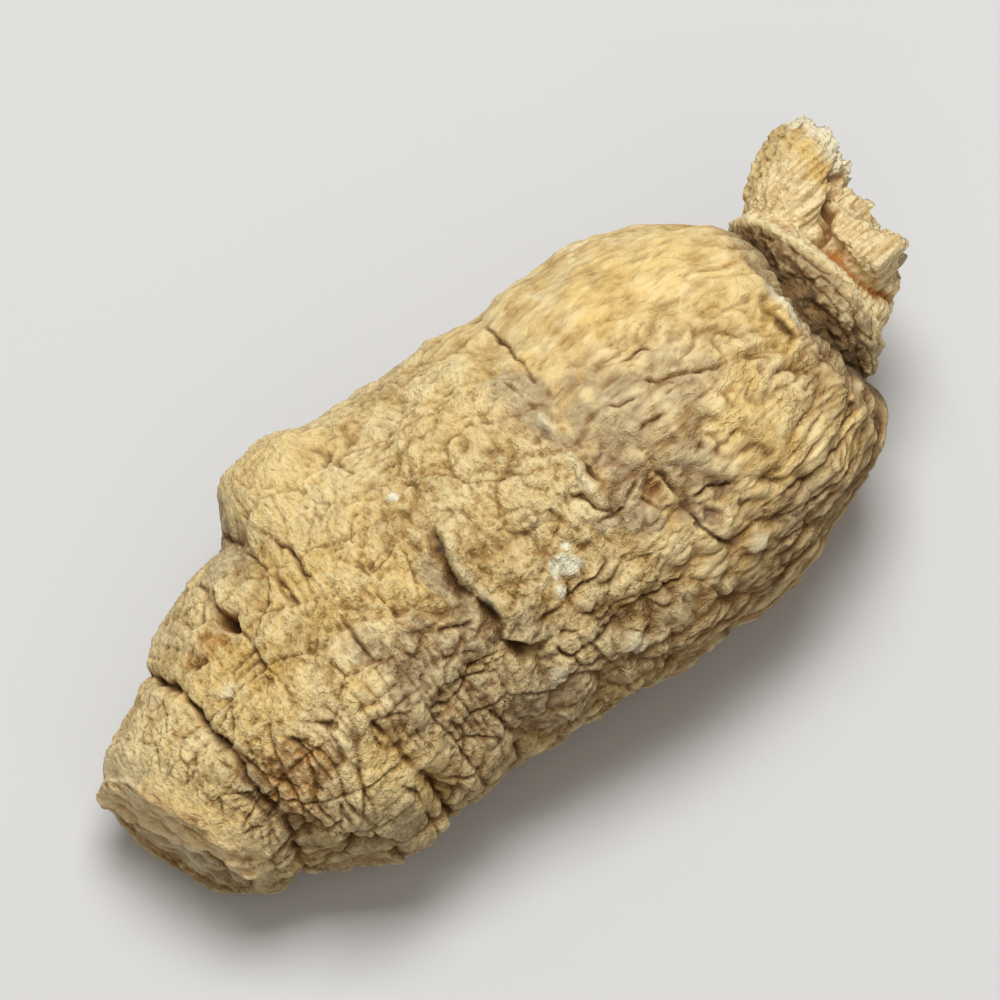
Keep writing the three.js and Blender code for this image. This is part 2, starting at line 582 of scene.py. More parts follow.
CRACKS = (
    Crease([(-15.8, 108), (-14.8, 110), (-13.8, 110), (-12.6, 112)], 0.35, 0.18),
    Crease([(-12.1, 108), (-10.8, 112), (-9.8, 116), (-8.8, 120), (-7.4, 122)], 0.5, 0.2),
    Crease([(-13.6, 130), (-12.0, 137), (-10.5, 136), (-9.6, 133), (-7.6, 134)], 0.45, 0.2),
    Crease([(-12.9, 146), (-11.5, 151)], 0.4, 0.2),
    Crease([(-14.9, 159), (-12.5, 167), (-10.7, 163), (-7.8, 162)], 0.45, 0.2),
    Crease([(-4.8, 142), (-4.5, 150), (-2.3, 150), (0.2, 148), (2.8, 149), (4.7, 150)], 0.55, 0.22),
    Crease([(-5.0, 136), (-3.7, 134), (-1.7, 132), (1.3, 130)], 0.45, 0.2),
    Crease([(-1.9, 104), (-0.7, 107), (0.2, 115)], 0.35, 0.2),
    Crease([(0.7, 105), (1.5, 108), (2.3, 119)], 0.45, 0.22),
    Crease([(3.0, 99), (2.9, 106), (2.9, 113)], 0.5, 0.24),
    Crease([(1.0, 118), (2.4, 119), (3.9, 116), (5.0, 113)], 0.45, 0.2),
    Crease([(3.9, 117), (4.8, 126), (6.1, 128), (7.8, 129), (9.7, 134)], 0.5, 0.22),
    Crease([(6.1, 105), (7.0, 103), (9.0, 104)], 0.3, 0.18),
    Crease([(7.2, 110), (8.1, 116), (9.3, 120)], 0.45, 0.25),
    Crease([(4.1, 92), (5.9, 92), (7.1, 94), (8.1, 96)], 0.35, 0.18),
    Crease([(8.2, 91), (9.7, 96), (11.7, 100), (13.3, 104), (14.6, 106)], 0.5, 0.22),
    Crease([(8.3, 82), (10.1, 84), (10.6, 88)], 0.45, 0.22),
    Crease([(9.5, 146), (11.8, 147), (14.1, 148), (17.5, 151)], 0.45, 0.18),
    Crease([(12.4, 156), (14.9, 158), (17.8, 160)], 0.45, 0.18),
    Crease([(9.8, 162), (12.4, 165), (14.9, 171)], 0.45, 0.18),
    Crease([(-27.3, 133), (-25.4, 132), (-24.0, 127)], 0.35, 0.18),
    Crease([(-27.1, 154), (-25.6, 156), (-24.1, 156)], 0.35, 0.18),
    Crease([(-20.3, 105), (-19.7, 111), (-19.7, 126), (-19.4, 139), (-19.0, 146)], 0.4, 0.2),
    Crease([(-21.3, 160), (-20.6, 165), (-20.0, 174)], 0.6, 0.25),
    Crease([(-22.3, 156), (-20.6, 152), (-19.6, 140)], 0.45, 0.22),
    Crease([(-17.4, 55), (-18.3, 53)], 1.2, 0.34, ends=0.3),
    Crease([(-4.8, 74), (-4.2, 78), (-3.4, 81), (-2.5, 86)], 0.3, 0.18),
)

SKIN_STEPS = (
    Step([(-5.6, 88), (-6.0, 92), (-6.9, 102), (-7.2, 111), (-6.7, 122), (-6.8, 129), (-7.2, 132),
          (-6.3, 139), (-4.8, 141)], 0.9, 2.6),
    Step([(18.4, 90), (18.5, 98), (18.6, 106), (19.1, 113)], 0.3, 1.6),
    Step([(-17.3, 36), (-18.1, 54)], 0.35, 1.5),
)

LUMPS = (
    Lump(-10.3, 24, 2.4, 3.5, 4.2, 2.0),
    Lump(-15.6, 195, 0.4, 2.6, 3.6),
    Lump(1.0, 185, 0.5, 5.0, 3.2),
    Lump(-5.4, 27, 0.9, 3.0, 4.0),
    Lump(-13.8, 28, -0.5, 1.0, 2.4),
    Lump(2.8, 86, 0.5, 0.42, 0.9, 2.0),
    Lump(2.3, 106, 0.6, 0.42, 1.9, 2.0),
    Lump(7.1, 138, 0.75, 1.0, 1.55, 2.5),
    Lump(7.1, 138, -0.75, 0.6, 1.1, 2.5),
    Lump(-0.6, 159, 0.5, 0.8, 0.9, 1.5),
    Lump(-5.6, 153, 0.45, 0.6, 0.8, 1.5),
    Lump(8.8, 154, 0.5, 0.7, 0.7, 1.5),
    Lump(-1.6, 124, 0.12, 0.9, 0.8, 1.5),
    Lump(-2.7, 130, 0.12, 0.4, 0.35, 1.5),
    Lump(16.0, 20, 0.5, 6.0, 5.0),
    Lump(5.0, 119, -0.5, 0.6, 0.8, 1.5),
    Lump(-18.2, 53, -1.9, 0.45, 1.0, 2.0, dark=1.3),
    Lump(-20.0, 300, 0.7, 2.0, 2.2),
    Lump(10.0, 330, 0.8, 2.4, 2.5),
    Lump(-9.6, 78, 0.18, 0.9, 0.9, 2.0),
    Lump(-9.6, 78, -0.2, 0.55, 0.55, 2.0),
)

STAINS = {
    Tone.GREY: (
        # The grey patch at x -14 in the notch beside the knob is painted shadow; the two at x -8, on the
        # tail side of the overlapping skin edge, are partly the skin's own grey and partly painted shadow of
        # that edge.
        Stain(-11.8, 121, 3.2, 3.0, 0.85), Stain(-10.5, 150, 3.6, 3.6, 0.6), Stain(3.6, 121, 2.0, 2.6, 0.95),
        Stain(4.8, 110, 1.4, 1.8, 0.9), Stain(-6.6, 160, 2.4, 3.2, 1.0), Stain(-1.6, 153, 1.6, 1.8, 0.6),
        Stain(2.2, 158, 2.0, 2.2, 0.6), Stain(-14.1, 103, 1.4, 1.4, 0.7), Stain(-14.0, 14, 1.6, 2.4, 0.8),
        Stain(-8.0, 106, 1.0, 2.2, 0.9), Stain(-7.8, 117, 1.3, 2.8, 0.9), Stain(7.6, 122, 1.8, 2.6, 0.9),
        Stain(18.0, 128, 2.2, 2.6, 0.4), Stain(20.6, 110, 1.6, 9.0, 0.8), Stain(12.5, 158, 3.0, 2.6, 0.8),
        Stain(-23.2, 122, 1.1, 3.0, 0.8), Stain(-23.5, 152, 2.0, 2.6, 0.6), Stain(-19.0, 168, 3.0, 2.6, 0.6),
        Stain(9.0, 170, 9.0, 3.0, 0.6), Stain(-15.2, 34, 1.6, 3.0, 0.5), Stain(6.2, 95, 2.8, 4.0, 0.85),
        Stain(3.0, 74, 1.4, 3.6, 0.85), Stain(-5.8, 134, 1.5, 2.2, 0.8), Stain(10.0, 99, 2.4, 2.8, 0.7),
    ),
    Tone.OCHRE: (
        Stain(-12.0, 70, 5.0, 4.6, 0.8), Stain(-9.5, 32, 3.5, 4.0, 0.8), Stain(-25.5, 100, 2.2, 4.0, 0.7),
        Stain(14.0, 62, 6.0, 4.0, 0.9), Stain(-17.0, 140, 2.2, 2.6, 0.7), Stain(0.0, 66, 5.0, 3.0, 0.6),
        Stain(-20.0, 67, 2.6, 3.4, 1.0), Stain(18.0, 100, 2.2, 3.0, 0.9), Stain(12.0, 139, 2.2, 2.2, 0.9),
        Stain(17.8, 145, 2.4, 2.6, 0.8), Stain(-15.3, 160, 1.8, 2.2, 0.9), Stain(-2.8, 99, 1.6, 1.6, 0.6),
        Stain(-19.3, 90, 2.6, 3.4, 1.0), Stain(-10.2, 95, 2.4, 3.2, 1.0), Stain(-15.5, 112, 1.6, 2.0, 0.9),
        Stain(-21.8, 102, 2.2, 2.8, 1.0), Stain(11.9, 118, 2.4, 2.2, 1.0), Stain(16.0, 84, 3.0, 3.0, 0.7),
    ),
    Tone.RUST: (
        Stain(-20.7, 125, 2.2, 2.7, 1.0), Stain(-21.6, 142, 1.6, 1.6, 0.5), Stain(-19.4, 53, 2.2, 1.2, 1.3),
        Stain(7.1, 138, 0.55, 0.9, 1.6), Stain(4.9, 121, 0.8, 0.9, 0.6),
    ),
    Tone.PALE: (
        Stain(-1.6, 124, 0.95, 0.8, 1.6), Stain(-2.7, 130, 0.4, 0.35, 1.6), Stain(-6.7, 73, 0.22, 0.3, 1.4),
        Stain(-21.0, 77, 0.5, 0.5, 0.4), Stain(2.6, 86, 0.35, 1.0, 0.3), Stain(2.2, 105, 0.35, 1.8, 0.3),
        Stain(19.7, 97, 0.7, 1.5, 0.6), Stain(-6.6, 112, 0.25, 4.0, 0.25), Stain(-0.6, 159, 0.7, 0.8, 0.35),
        Stain(-5.6, 153, 0.5, 0.7, 0.35), Stain(8.8, 154, 0.6, 0.6, 0.35), Stain(7.1, 138, 1.0, 1.5, 0.15),
        Stain(-1.0, 119, 0.35, 0.3, 1.2),
    ),
}


class Skin:
    """Lays places of the smooth form out by x and angle, and measures them to the marks.

    Attributes:
        wanders: how far the marks wander off the places that they are given.
        strays: how far the borders between one kind of skin and the next wander.
        nearly_round: half the reach of a route that counts as all round, in degrees.
    """

    wanders = (Pattern(11, 2.2, strength=0.42), Pattern(12, 0.8, strength=0.3))
    strays = Pattern(31, 6.0, strength=5.0)
    nearly_round = 170

    def __init__(self, form: RootForm, points: Array) -> None:
        """Lays out the places.

        Args:
            form: the smooth root.
            points: places on the smooth form, in millimetres.
        """
        self.points = points.astype(np.float32)
        self.x = points[:, 0]
        self.radius, self.side, self.middle = form.curves(self.x)
        turn = np.arctan2(points[:, 2] - self.middle, points[:, 1] - self.side)
        self.angle = np.degrees(turn) % FULL_TURN
        self.wander = sum(pattern.vector(self.points) for pattern in self.wanders)
        self.stray = self.strays.at(self.points)
        self.x_bent = self.x + self.wander[:, 0]
        self.angle_bent = self.angle + np.degrees(self.wander[:, 1] / self.radius)

    def from_mark(self, mark: Lump | Stain) -> tuple[Array, Array]:
        """Measures from a mark's middle, in units of half its own size.

        Args:
            mark: the mark.

        Returns:
            Distance along the root and distance round it.
        """
        across = np.radians(turn_between(self.angle_bent, mark.angle)) * self.radius
        return (self.x_bent - mark.x) / mark.along, across / mark.around

    def near(self, route: Route, margin: float) -> Array:
        """Finds the places within a margin of a route's box.

        Args:
            route: the route's points.
            margin: how far outside the box a place may be.

        Returns:
            The indices of the places.
        """
        xs = [p[0] for p in route]
        angles = [p[1] for p in route]
        middle = (min(angles) + max(angles)) / 2
        half = (max(angles) - min(angles)) / 2
        turn = np.abs(turn_between(self.angle_bent, middle))
        level = (self.x_bent > min(xs) - margin) & (self.x_bent < max(xs) + margin)
        beside = turn < half + np.degrees(margin / self.radius)
        return np.nonzero(level & (beside | (half > self.nearly_round)))[0]

    def along_route(self, route: Route, at: Array) -> tuple[Array, Array, Array]:
        """Measures from places to a route.

        Args:
            route: the route's points.
            at: indices of the places.

        Returns:
            Distance to the route, signed distance towards the crown side, and distance
            from the nearer end of the route.
        """
        x, scale = self.x_bent[at], np.radians(1.0) * self.radius[at]
        best = np.full(len(at), FAR)
        signed = np.zeros(len(at))
        place = np.zeros(len(at))
        total = np.zeros(len(at))
        for (x0, a0), (x1, a1) in zip(route, route[1:]):
            middle = (a0 + a1) / 2
            across = turn_between(self.angle_bent[at], middle)
            start_v, end_v = (a0 - middle) * scale, (a1 - middle) * scale
            du, dv = x1 - x0, end_v - start_v
            pu, pv = x - x0, across * scale - start_v
            length = np.sqrt(du * du + dv * dv) + 1e-6
            t = np.clip((pu * du + pv * dv) / length**2, 0, 1)
            gap = np.hypot(pu - t * du, pv - t * dv)
            side = (pu * dv - pv * du) / length
            closer = gap < best
            best = np.where(closer, gap, best)
            signed = np.where(closer, side, signed)
            place = np.where(closer, total + t * length, place)
            total = total + length
        closed = abs(route[0][1] - route[-1][1]) >= FULL_TURN - 1
        ends = np.full(len(at), FAR) if closed else np.minimum(place, total - place)
        return best, signed, ends


@dataclass
class Relief:
    """What the skin does at each place.

    Attributes:
        height: how far it stands out.
        masks: how strongly each mark or tone shows, by its name.
    """

    height: Array
    masks: dict[str, Array] = field(default_factory=dict)

    def mark(self, name: str, values: Array, at: Array | slice = slice(None)) -> None:
        """Raises a mask to given values wherever it is lower than they are.

        Args:
            name: the mask's name; a new one starts at 0.
            values: the values.
            at: indices of their places, or all of them.
        """
        mask = self.masks.setdefault(name, np.zeros(len(self.height), np.float32))
        mask[at] = np.maximum(mask[at], values)


@dataclass(frozen=True)
class SkinRelief:
    """Builds the relief of the dried skin, from slow swellings to fine crinkles.

    Attributes:
        ridge_height: how far the skin lies over the smooth form before its folds go in.
        wrinkle_radius: radius of the circle that the skin is unrolled on.
        bends: how the wrinkles swing off their own way.
        swells: the slow uneven shrinkage.
        drawn: where the skin turns from crinkled to drawn out lengthwise.
        knots: short crinkles of the tail and the middle.
        strands: long crinkles of the crown.
        crinkles: depth of the crinkles.
        knot_depth: how much of that depth the knots take.
        strand_depth: how much of it the strands take.
        calm: strength of the crinkles round the root.
        fine: strength of the hair-fine lines round the root.
        wrinkle_patch: length of a patch that a family of wrinkles fills or leaves out,
            in units of the family's spacing round the root.
        plate_patch: the same for a family of plates, in units of a plate's size.
        valley: where a fold's broad valley ends, as a value of the family's field.
        slit: half the width of a fold's sharp bottom and of a crack between plates.
        foot: half the width of the painted shadow line at the foot of a skin edge.
        shade: half the width of the broader strip of painted shadow there.
        furrow: half the width of the hollow that a growth ring lies in.
        furrow_depth: depth of that hollow, as a share of the ring's own depth.
        step_fray: how a skin edge changes along its length.
        crease_fray: how a crease changes along its length.
        ragged: how the borders of the stains are torn.
        stain_ends: distance from a stain's middle where it starts to end and has ended.
        scab: the rough surface of a rusty patch.
        scab_height: how rough it is.
        ochre_tint: how far an ochre patch also lightens the skin.
        tail_tint: how much lighter the skin is along the root.
        soil_and_shade: how dark the skin is made round the root, most on the low flank and the underside:
            painted shade, with some dirt.
        soil_and_shade_ragged: how far the border of that darkening is torn, in degrees.
    """

    ridge_height: float = 0.65
    wrinkle_radius: float = 10.5
    bends: tuple[Pattern, ...] = (Pattern(33, 4.0, strength=1.2), Pattern(34, 1.3, strength=0.22))
    swells: tuple[Pattern, ...] = (
        Pattern(21, 9.0, strength=0.9),
        Pattern(22, 4.2, strength=0.6),
        Pattern(23, 2.3, strength=0.4),
    )
    drawn: tuple[float, float] = (-1.0, 8.0)
    knots: Pattern = Pattern(24, 0.9, 1.3, 3, 0.65, 1.8)
    strands: Pattern = Pattern(25, 2.6, 0.95, 3, 0.6, 1.8)
    crinkles: float = 0.24
    knot_depth: float = 1.45
    strand_depth: float = 0.7
    calm: Knots = ((40, 0.7), (90, 1.0), (125, 0.7), (170, 0.4), (300, 0.5))
    fine: Knots = ((50, 0.2), (115, 1.0), (172, 1.0), (270, 0.7))
    wrinkle_patch: float = 1.7
    plate_patch: float = 1.3
    valley: float = 0.3
    slit: float = 0.14
    foot: float = 0.7
    shade: float = 1.6
    furrow: float = 1.5
    furrow_depth: float = 0.7
    step_fray: Pattern = Pattern(52, 1.5, layers=2)
    crease_fray: Pattern = Pattern(51, 1.8, layers=2)
    ragged: Pattern = Pattern(61, 1.6, layers=4, gain=0.7, strength=0.9)
    stain_ends: tuple[float, float] = (0.6, 1.2)
    scab: Pattern = Pattern(62, 0.9, layers=3, gain=0.8)
    scab_height: float = 0.35
    ochre_tint: float = 0.55
    tail_tint: Knots = ((-20, 0.6), (-12, 0.45), (-2, 0.15), (8, 0.0))
    soil_and_shade: Knots = ((145, 0.0), (175, 0.8), (200, 1.0), (320, 0.5), (355, 0.0))
    soil_and_shade_ragged: float = 25.0

    def build(self, skin: Skin) -> Relief:
        """Works out the relief at given places of the smooth form.

        Args:
            skin: the places.

        Returns:
            How far the skin stands out at each place, and its masks.
        """
        relief = Relief(np.zeros(len(skin.x), np.float32))
        bent = self._unrolled(skin)
        self._swellings(skin, bent, relief)
        self._lumps(skin, relief)
        self._wrinkles(skin, bent, relief)
        self._plates(skin, bent, relief)
        self._steps(skin, relief)
        self._creases(skin, relief)
        self._stains(skin, relief)
        relief.height += self.ridge_height
        return relief

    def _unrolled(self, skin: Skin) -> Array:
        """Lays the skin out along x and round a circle, bent a little by noise.

        Args:
            skin: the places.

        Returns:
            The laid out places, one row each.
        """
        p = skin.points
        around = np.stack([np.zeros_like(skin.x), p[:, 1] - skin.side, p[:, 2] - skin.middle], 1)
        straight = around / np.linalg.norm(around, axis=1)[:, None] * self.wrinkle_radius
        straight[:, 0] = skin.x
        for bend in self.bends:
            straight = straight + bend.vector(p)
        return straight

    def _swellings(self, skin: Skin, bent: Array, relief: Relief) -> None:
        """Adds the slow uneven shrinkage of the whole root and its fine crinkles.

        Args:
            skin: the places.
            bent: the places laid out.
            relief: what is changed.
        """
        swell = sum(pattern.at(skin.points) for pattern in self.swells)
        relief.height += swell
        drawn = smooth_step(skin.x + skin.stray, *self.drawn)
        knots = (1 - drawn) * self.knot_depth * (0.5 - np.abs(self.knots.at(bent)))
        strands = drawn * self.strand_depth * (np.abs(self.strands.at(bent)) - 0.4)
        relief.height += self.crinkles * round_knots(skin.angle, self.calm) * (knots + strands)
        relief.masks["drawn"] = drawn
        relief.masks["fine"] = round_knots(skin.angle, self.fine)
        relief.masks["tint"] = (1.5 - 1.1 * drawn) * swell

    @staticmethod
    def _lumps(skin: Skin, relief: Relief) -> None:
        """Adds the knob, the scars and the other single bumps.

        Args:
            skin: the places.
            relief: what is changed.
        """
        for lump in LUMPS:
            along, across = skin.from_mark(lump)
            inside = np.exp(-((along**2 + across**2) ** lump.flat)).astype(np.float32)
            relief.height += lump.height * inside
            # A hole is painted dark inside: painted shade.
            relief.mark("crack", lump.dark * inside)

    def _wrinkles(self, skin: Skin, bent: Array, relief: Relief) -> None:
        """Adds the drying wrinkles, family by family.

        Args:
            skin: the places.
            bent: the places laid out.
            relief: what is changed.
        """
        for family in WRINKLES:
            value = Noise(family.seed).at(bent / family.size())
            where = Noise(family.seed + 50).at(bent / (self.wrinkle_patch * family.around) + 5.0)
            strength = 1 - family.broken * (1 - smooth_step(where, -0.25, 0.25))
            strength *= family.share(skin)
            flat = np.abs(value)
            broad = (1 - np.clip(flat / self.valley, 0, 1)) ** 1.4
            sharp = 1 - np.clip(flat / max(0.12, self.slit / family.around), 0, 1)
            lap = family.lap * np.sign(value) * np.exp(-flat / 0.16)
            relief.height -= family.depth * strength * (0.6 * broad + 0.4 * sharp - 0.5 * lap)
            # The sharp bottom of a fold is darkened: dirt and painted shade.
            line = family.dark * np.clip(strength, 0, 1) * sharp * min(1.0, family.depth / 0.2)
            relief.mark("crack", line)

    def _plates(self, skin: Skin, bent: Array, relief: Relief) -> None:
        """Adds the plates and the cracks between them.

        Args:
            skin: the places.
            bent: the places laid out.
            relief: what is changed.
        """
        for family in PLATES:
            edge, tilt, value = Noise(family.seed).plates(bent / family.size())
            strength = family.share(skin)
            where = Noise(family.seed + 20).at(bent / (self.plate_patch * family.size()) + 9.0)
            crack = 1 - np.clip(edge * family.around / self.slit, 0, 1)
            crack = smooth_step(where, -0.3, 0.2) * crack
            relief.height += family.tilt * strength * tilt
            relief.height -= family.gap * strength * crack
            # The cracks between the plates are darkened: dirt and painted shade.
            relief.mark("crack", family.dark * np.clip(strength, 0, 1) * crack**1.5)
            relief.masks["tint"] += strength * (value - 0.5) * min(1.0, family.along / 2.0)

    def _steps(self, skin: Skin, relief: Relief) -> None:
        """Adds the edges where one skin overlaps the next.

        Args:
            skin: the places.
            relief: what is changed.
        """
        fray = self.step_fray.at(skin.points)
        for step in SKIN_STEPS:
            at = skin.near(step.route, step.reach * 2)
            gap, side, ends = skin.along_route(step.route, at)
            hold = smooth_step(ends, 0.0, step.ends) * np.clip(0.85 + 1.2 * fray[at], 0.2, 1.2)
            rise = np.where(side > 0, np.exp(-side / step.reach), 0) * smooth_step(side, -0.05, 0.3)
            foot = np.where(side < 0, bell(gap / self.foot), 0)
            relief.height[at] += step.height * hold * bell(gap / (2.0 * step.reach)) * rise
            relief.height[at] -= 0.8 * step.height * hold * foot
            # The foot of the edge and a broader strip on its tail side are darkened: painted shadow of the
            # overlapping skin.
            relief.mark("crack", hold * foot, at)
            relief.masks["tint"][at] -= 1.3 * hold * np.where(side < 0, bell(gap / self.shade), 0)

    def _creases(self, skin: Skin, relief: Relief) -> None:
        """Adds the growth rings and the single cracks.

        Args:
            skin: the places.
            relief: what is changed.
        """
        fray = self.crease_fray.at(skin.points)
        for crease in RING_CREASES + CRACKS:
            ring = crease in RING_CREASES
            at = skin.near(crease.route, 3 * crease.breadth + (3 if ring else 1))
            gap, _, ends = skin.along_route(crease.route, at)
            hold = smooth_step(ends, 0.0, crease.ends) * np.clip(0.8 + 2.0 * fray[at], 0.15, 1.1)
            if ring:
                furrow = crease.depth * smooth_step(ends, 0.0, 3.0) * bell(gap / self.furrow)
                relief.height[at] -= self.furrow_depth * furrow
                # A growth ring's hollow is darkened too: painted shade.
                relief.masks["tint"][at] -= 0.9 * furrow
            # The bottom of each crease is darkened: dirt and painted shade.
            cut = hold * bell(gap / (0.6 * crease.breadth))
            relief.height[at] -= 0.75 * crease.depth * cut
            lip = bell((gap - 2.4 * crease.breadth) / crease.breadth)
            relief.height[at] += crease.lip * hold * lip
            relief.mark("crack", cut, at)

    def _stains(self, skin: Skin, relief: Relief) -> None:
        """Works out how strongly each place is stained with each tone.

        Args:
            skin: the places.
            relief: what is changed.
        """
        ragged = self.ragged.at(skin.points)
        # The low flank and the underside are darkened: painted shade, with some dirt.
        relief.masks["soil_and_shade"] = along_knots(skin.angle + self.soil_and_shade_ragged * ragged, self.soil_and_shade)
        for tone, stains in STAINS.items():
            for stain in stains:
                along, across = skin.from_mark(stain)
                gap = np.sqrt(along**2 + across**2) + ragged * min(1.0, 0.3 + 0.35 * stain.around)
                relief.mark(tone.value, stain.strength * (1 - smooth_step(gap, *self.stain_ends)))
        relief.masks["tint"] += self.ochre_tint * relief.masks["ochre"]
        relief.masks["tint"] += along_knots(skin.x, self.tail_tint)
        rusty = np.minimum(relief.masks["rust"], 1.0)
        relief.height += self.scab_height * rusty * self.scab.at(skin.points)


# --- Mesh work ---


def only(*pieces: Piece) -> None:
    """Selects nothing but the given objects and makes the first the active one.

    Args:
        pieces: the objects.
    """
    bpy.ops.object.select_all(action="DESELECT")
    for piece in pieces:
        piece.select_set(True)
    bpy.context.view_layer.objects.active = pieces[0]


def apply_modifier(piece: Piece, kind: str, **settings: object) -> None:
    """Adds a modifier with its settings and applies it.

    Args:
        piece: the mesh object.
        kind: the modifier's type.
        settings: its settings.
    """
    only(piece)
    modifier = piece.modifiers.new(kind.lower(), kind)
    for name, value in settings.items():
        setattr(modifier, name, value)
    bpy.ops.object.modifier_apply(modifier=modifier.name)


def read_rows(items: bpy.types.bpy_prop_collection, name: str, width: int, kind: type) -> Array:
    """Reads a property of every item of a mesh.

    Args:
        items: the mesh's vertices, edges or normals.
        name: the property's name.
        width: how many numbers it holds.
        kind: their type.

    Returns:
        The numbers, one row for each item.
    """
    flat = np.zeros(len(items) * width, kind)
    items.foreach_get(name, flat)
    return flat.reshape(-1, width)


def read_points(piece: Piece) -> Array:
    """Returns the mesh's vertices in millimetres, one row each."""
    return read_rows(piece.data.vertices, "co", 3, np.float32).astype(np.float64) / MM


def read_normals(piece: Piece) -> Array:
    """Returns the mesh's vertex normals, one row each."""
    return read_rows(piece.data.vertex_normals, "vector", 3, np.float32).astype(np.float64)


def read_links(piece: Piece) -> Array:
    """Returns the mesh's edges, one row of two vertices each."""
    return read_rows(piece.data.edges, "vertices", 2, np.int32)


def write_points(piece: Piece, points: Array) -> None:
    """Writes vertices given in millimetres."""
    piece.data.vertices.foreach_set("co", (points * MM).astype(np.float32).ravel())
    piece.data.update()


def write_mask(piece: Piece, name: str, values: Array) -> None:
    """Keeps one value for each vertex on the mesh, under a name."""
    layer = piece.data.attributes.new(name, "FLOAT", "POINT")
    layer.data.foreach_set("value", values.astype(np.float32))


def settle(values: Array, links: Array, rounds: int) -> Array:
    """Averages a value over the mesh with its neighbours.

    Args:
        values: one value for each vertex.
        links: the mesh's edges, one row of two vertices each.
        rounds: how many times each value is averaged with those around it.

    Returns:
        The averaged values.
    """
    count = len(values)
    first, last = links[:, 0], links[:, 1]
    share = 1.0 + np.bincount(first, minlength=count) + np.bincount(last, minlength=count)
    for _ in range(rounds):
        total = values + np.bincount(first, values[last], count)
        total += np.bincount(last, values[first], count)
        values = total / share
    return values


def loft(name: str, rings: Sequence[Ring], sides: int, inset: float = 0.3) -> Piece:
    """Extrudes a circle from ring to ring and closes both ends.

    Args:
        name: the new object's name.
        rings: the rings, from one end to the other.
        sides: how many points each ring has.
        inset: how far the end face is inset, as a share of the last ring's height.

    Returns:
        The closed mesh object.
    """
    before = rings[0]
    bpy.ops.object.select_all(action="DESELECT")
    upright = (0, math.pi / 2, 0)
    bpy.ops.mesh.primitive_circle_add(vertices=sides, radius=MM, fill_type="NGON", rotation=upright)
    piece = bpy.context.object
    piece.name = name
    bpy.ops.object.transform_apply(location=False, rotation=True, scale=True)
    bpy.ops.object.mode_set(mode="EDIT")
    bpy.ops.mesh.select_all(action="SELECT")
    bpy.ops.transform.resize(value=(1, before.wide, before.high))
    bpy.ops.transform.translate(value=before.middle())
    for ring in rings[1:]:
        move = {"value": ring.middle() - before.middle()}
        bpy.ops.mesh.extrude_region_move(TRANSFORM_OT_translate=move)
        grow = (1, ring.wide / before.wide, ring.high / before.high)
        bpy.ops.transform.resize(value=grow, center_override=ring.middle())
        before = ring
    bpy.ops.mesh.inset(thickness=inset * before.high * MM)
    bpy.ops.mesh.select_all(action="SELECT")
    bpy.ops.mesh.normals_make_consistent(inside=False)
    bpy.ops.object.mode_set(mode="OBJECT")
    return piece


@dataclass(frozen=True)
class FineMesh:
    """A closed mesh made of small even faces, which takes the relief.

    Attributes:
        voxel: size of the small faces.
        most_triangles: how many triangles are left of them in the end.
        near_rounds: rounds of settling that tell the finest folds.
        wide_rounds: rounds of settling that tell the broad folds.
        near_depth: how deep the finest folds are where they are darkest.
        wide_depth: the same for the broad ones.
    """

    voxel: float
    most_triangles: int
    near_rounds: int = 6
    wide_rounds: int = 70
    near_depth: float = 0.12
    wide_depth: float = 0.3

    def remesh(self, piece: Piece) -> None:
        """Gives the piece its small even faces."""
        apply_modifier(piece, "REMESH", mode="VOXEL", voxel_size=self.voxel * MM)
        LOG.info("%s: fine mesh of %d vertices", piece.name, len(piece.data.vertices))

    def finish(self, piece: Piece, points: Array, relief: Relief) -> None:
        """Moves the vertices, keeps the masks on the mesh and thins it.

        One more mask tells the folds, 1 at the bottom of a fold and -1 on a ridge.

        Args:
            piece: the fine mesh.
            points: where the relief puts its vertices.
            relief: what the skin does at each vertex.
        """
        write_points(piece, points)
        links = read_links(piece)
        near = settle(relief.height, links, self.near_rounds)
        wide = settle(relief.height, links, self.wide_rounds)
        # The fold mask is used to paint shade into the folds and a highlight on the ridges.
        fold = 0.5 * np.clip((near - relief.height) / self.near_depth, -1, 1)
        fold += 0.5 * np.clip((wide - near) / self.wide_depth, -1, 1)
        for name, values in {"fold": fold, **relief.masks}.items():
            write_mask(piece, name, values)
        ratio = min(1.0, self.most_triangles / (2 * len(piece.data.polygons)))
        apply_modifier(piece, "DECIMATE", ratio=ratio)
        only(piece)
        bpy.ops.object.shade_smooth()


# --- The main root ---


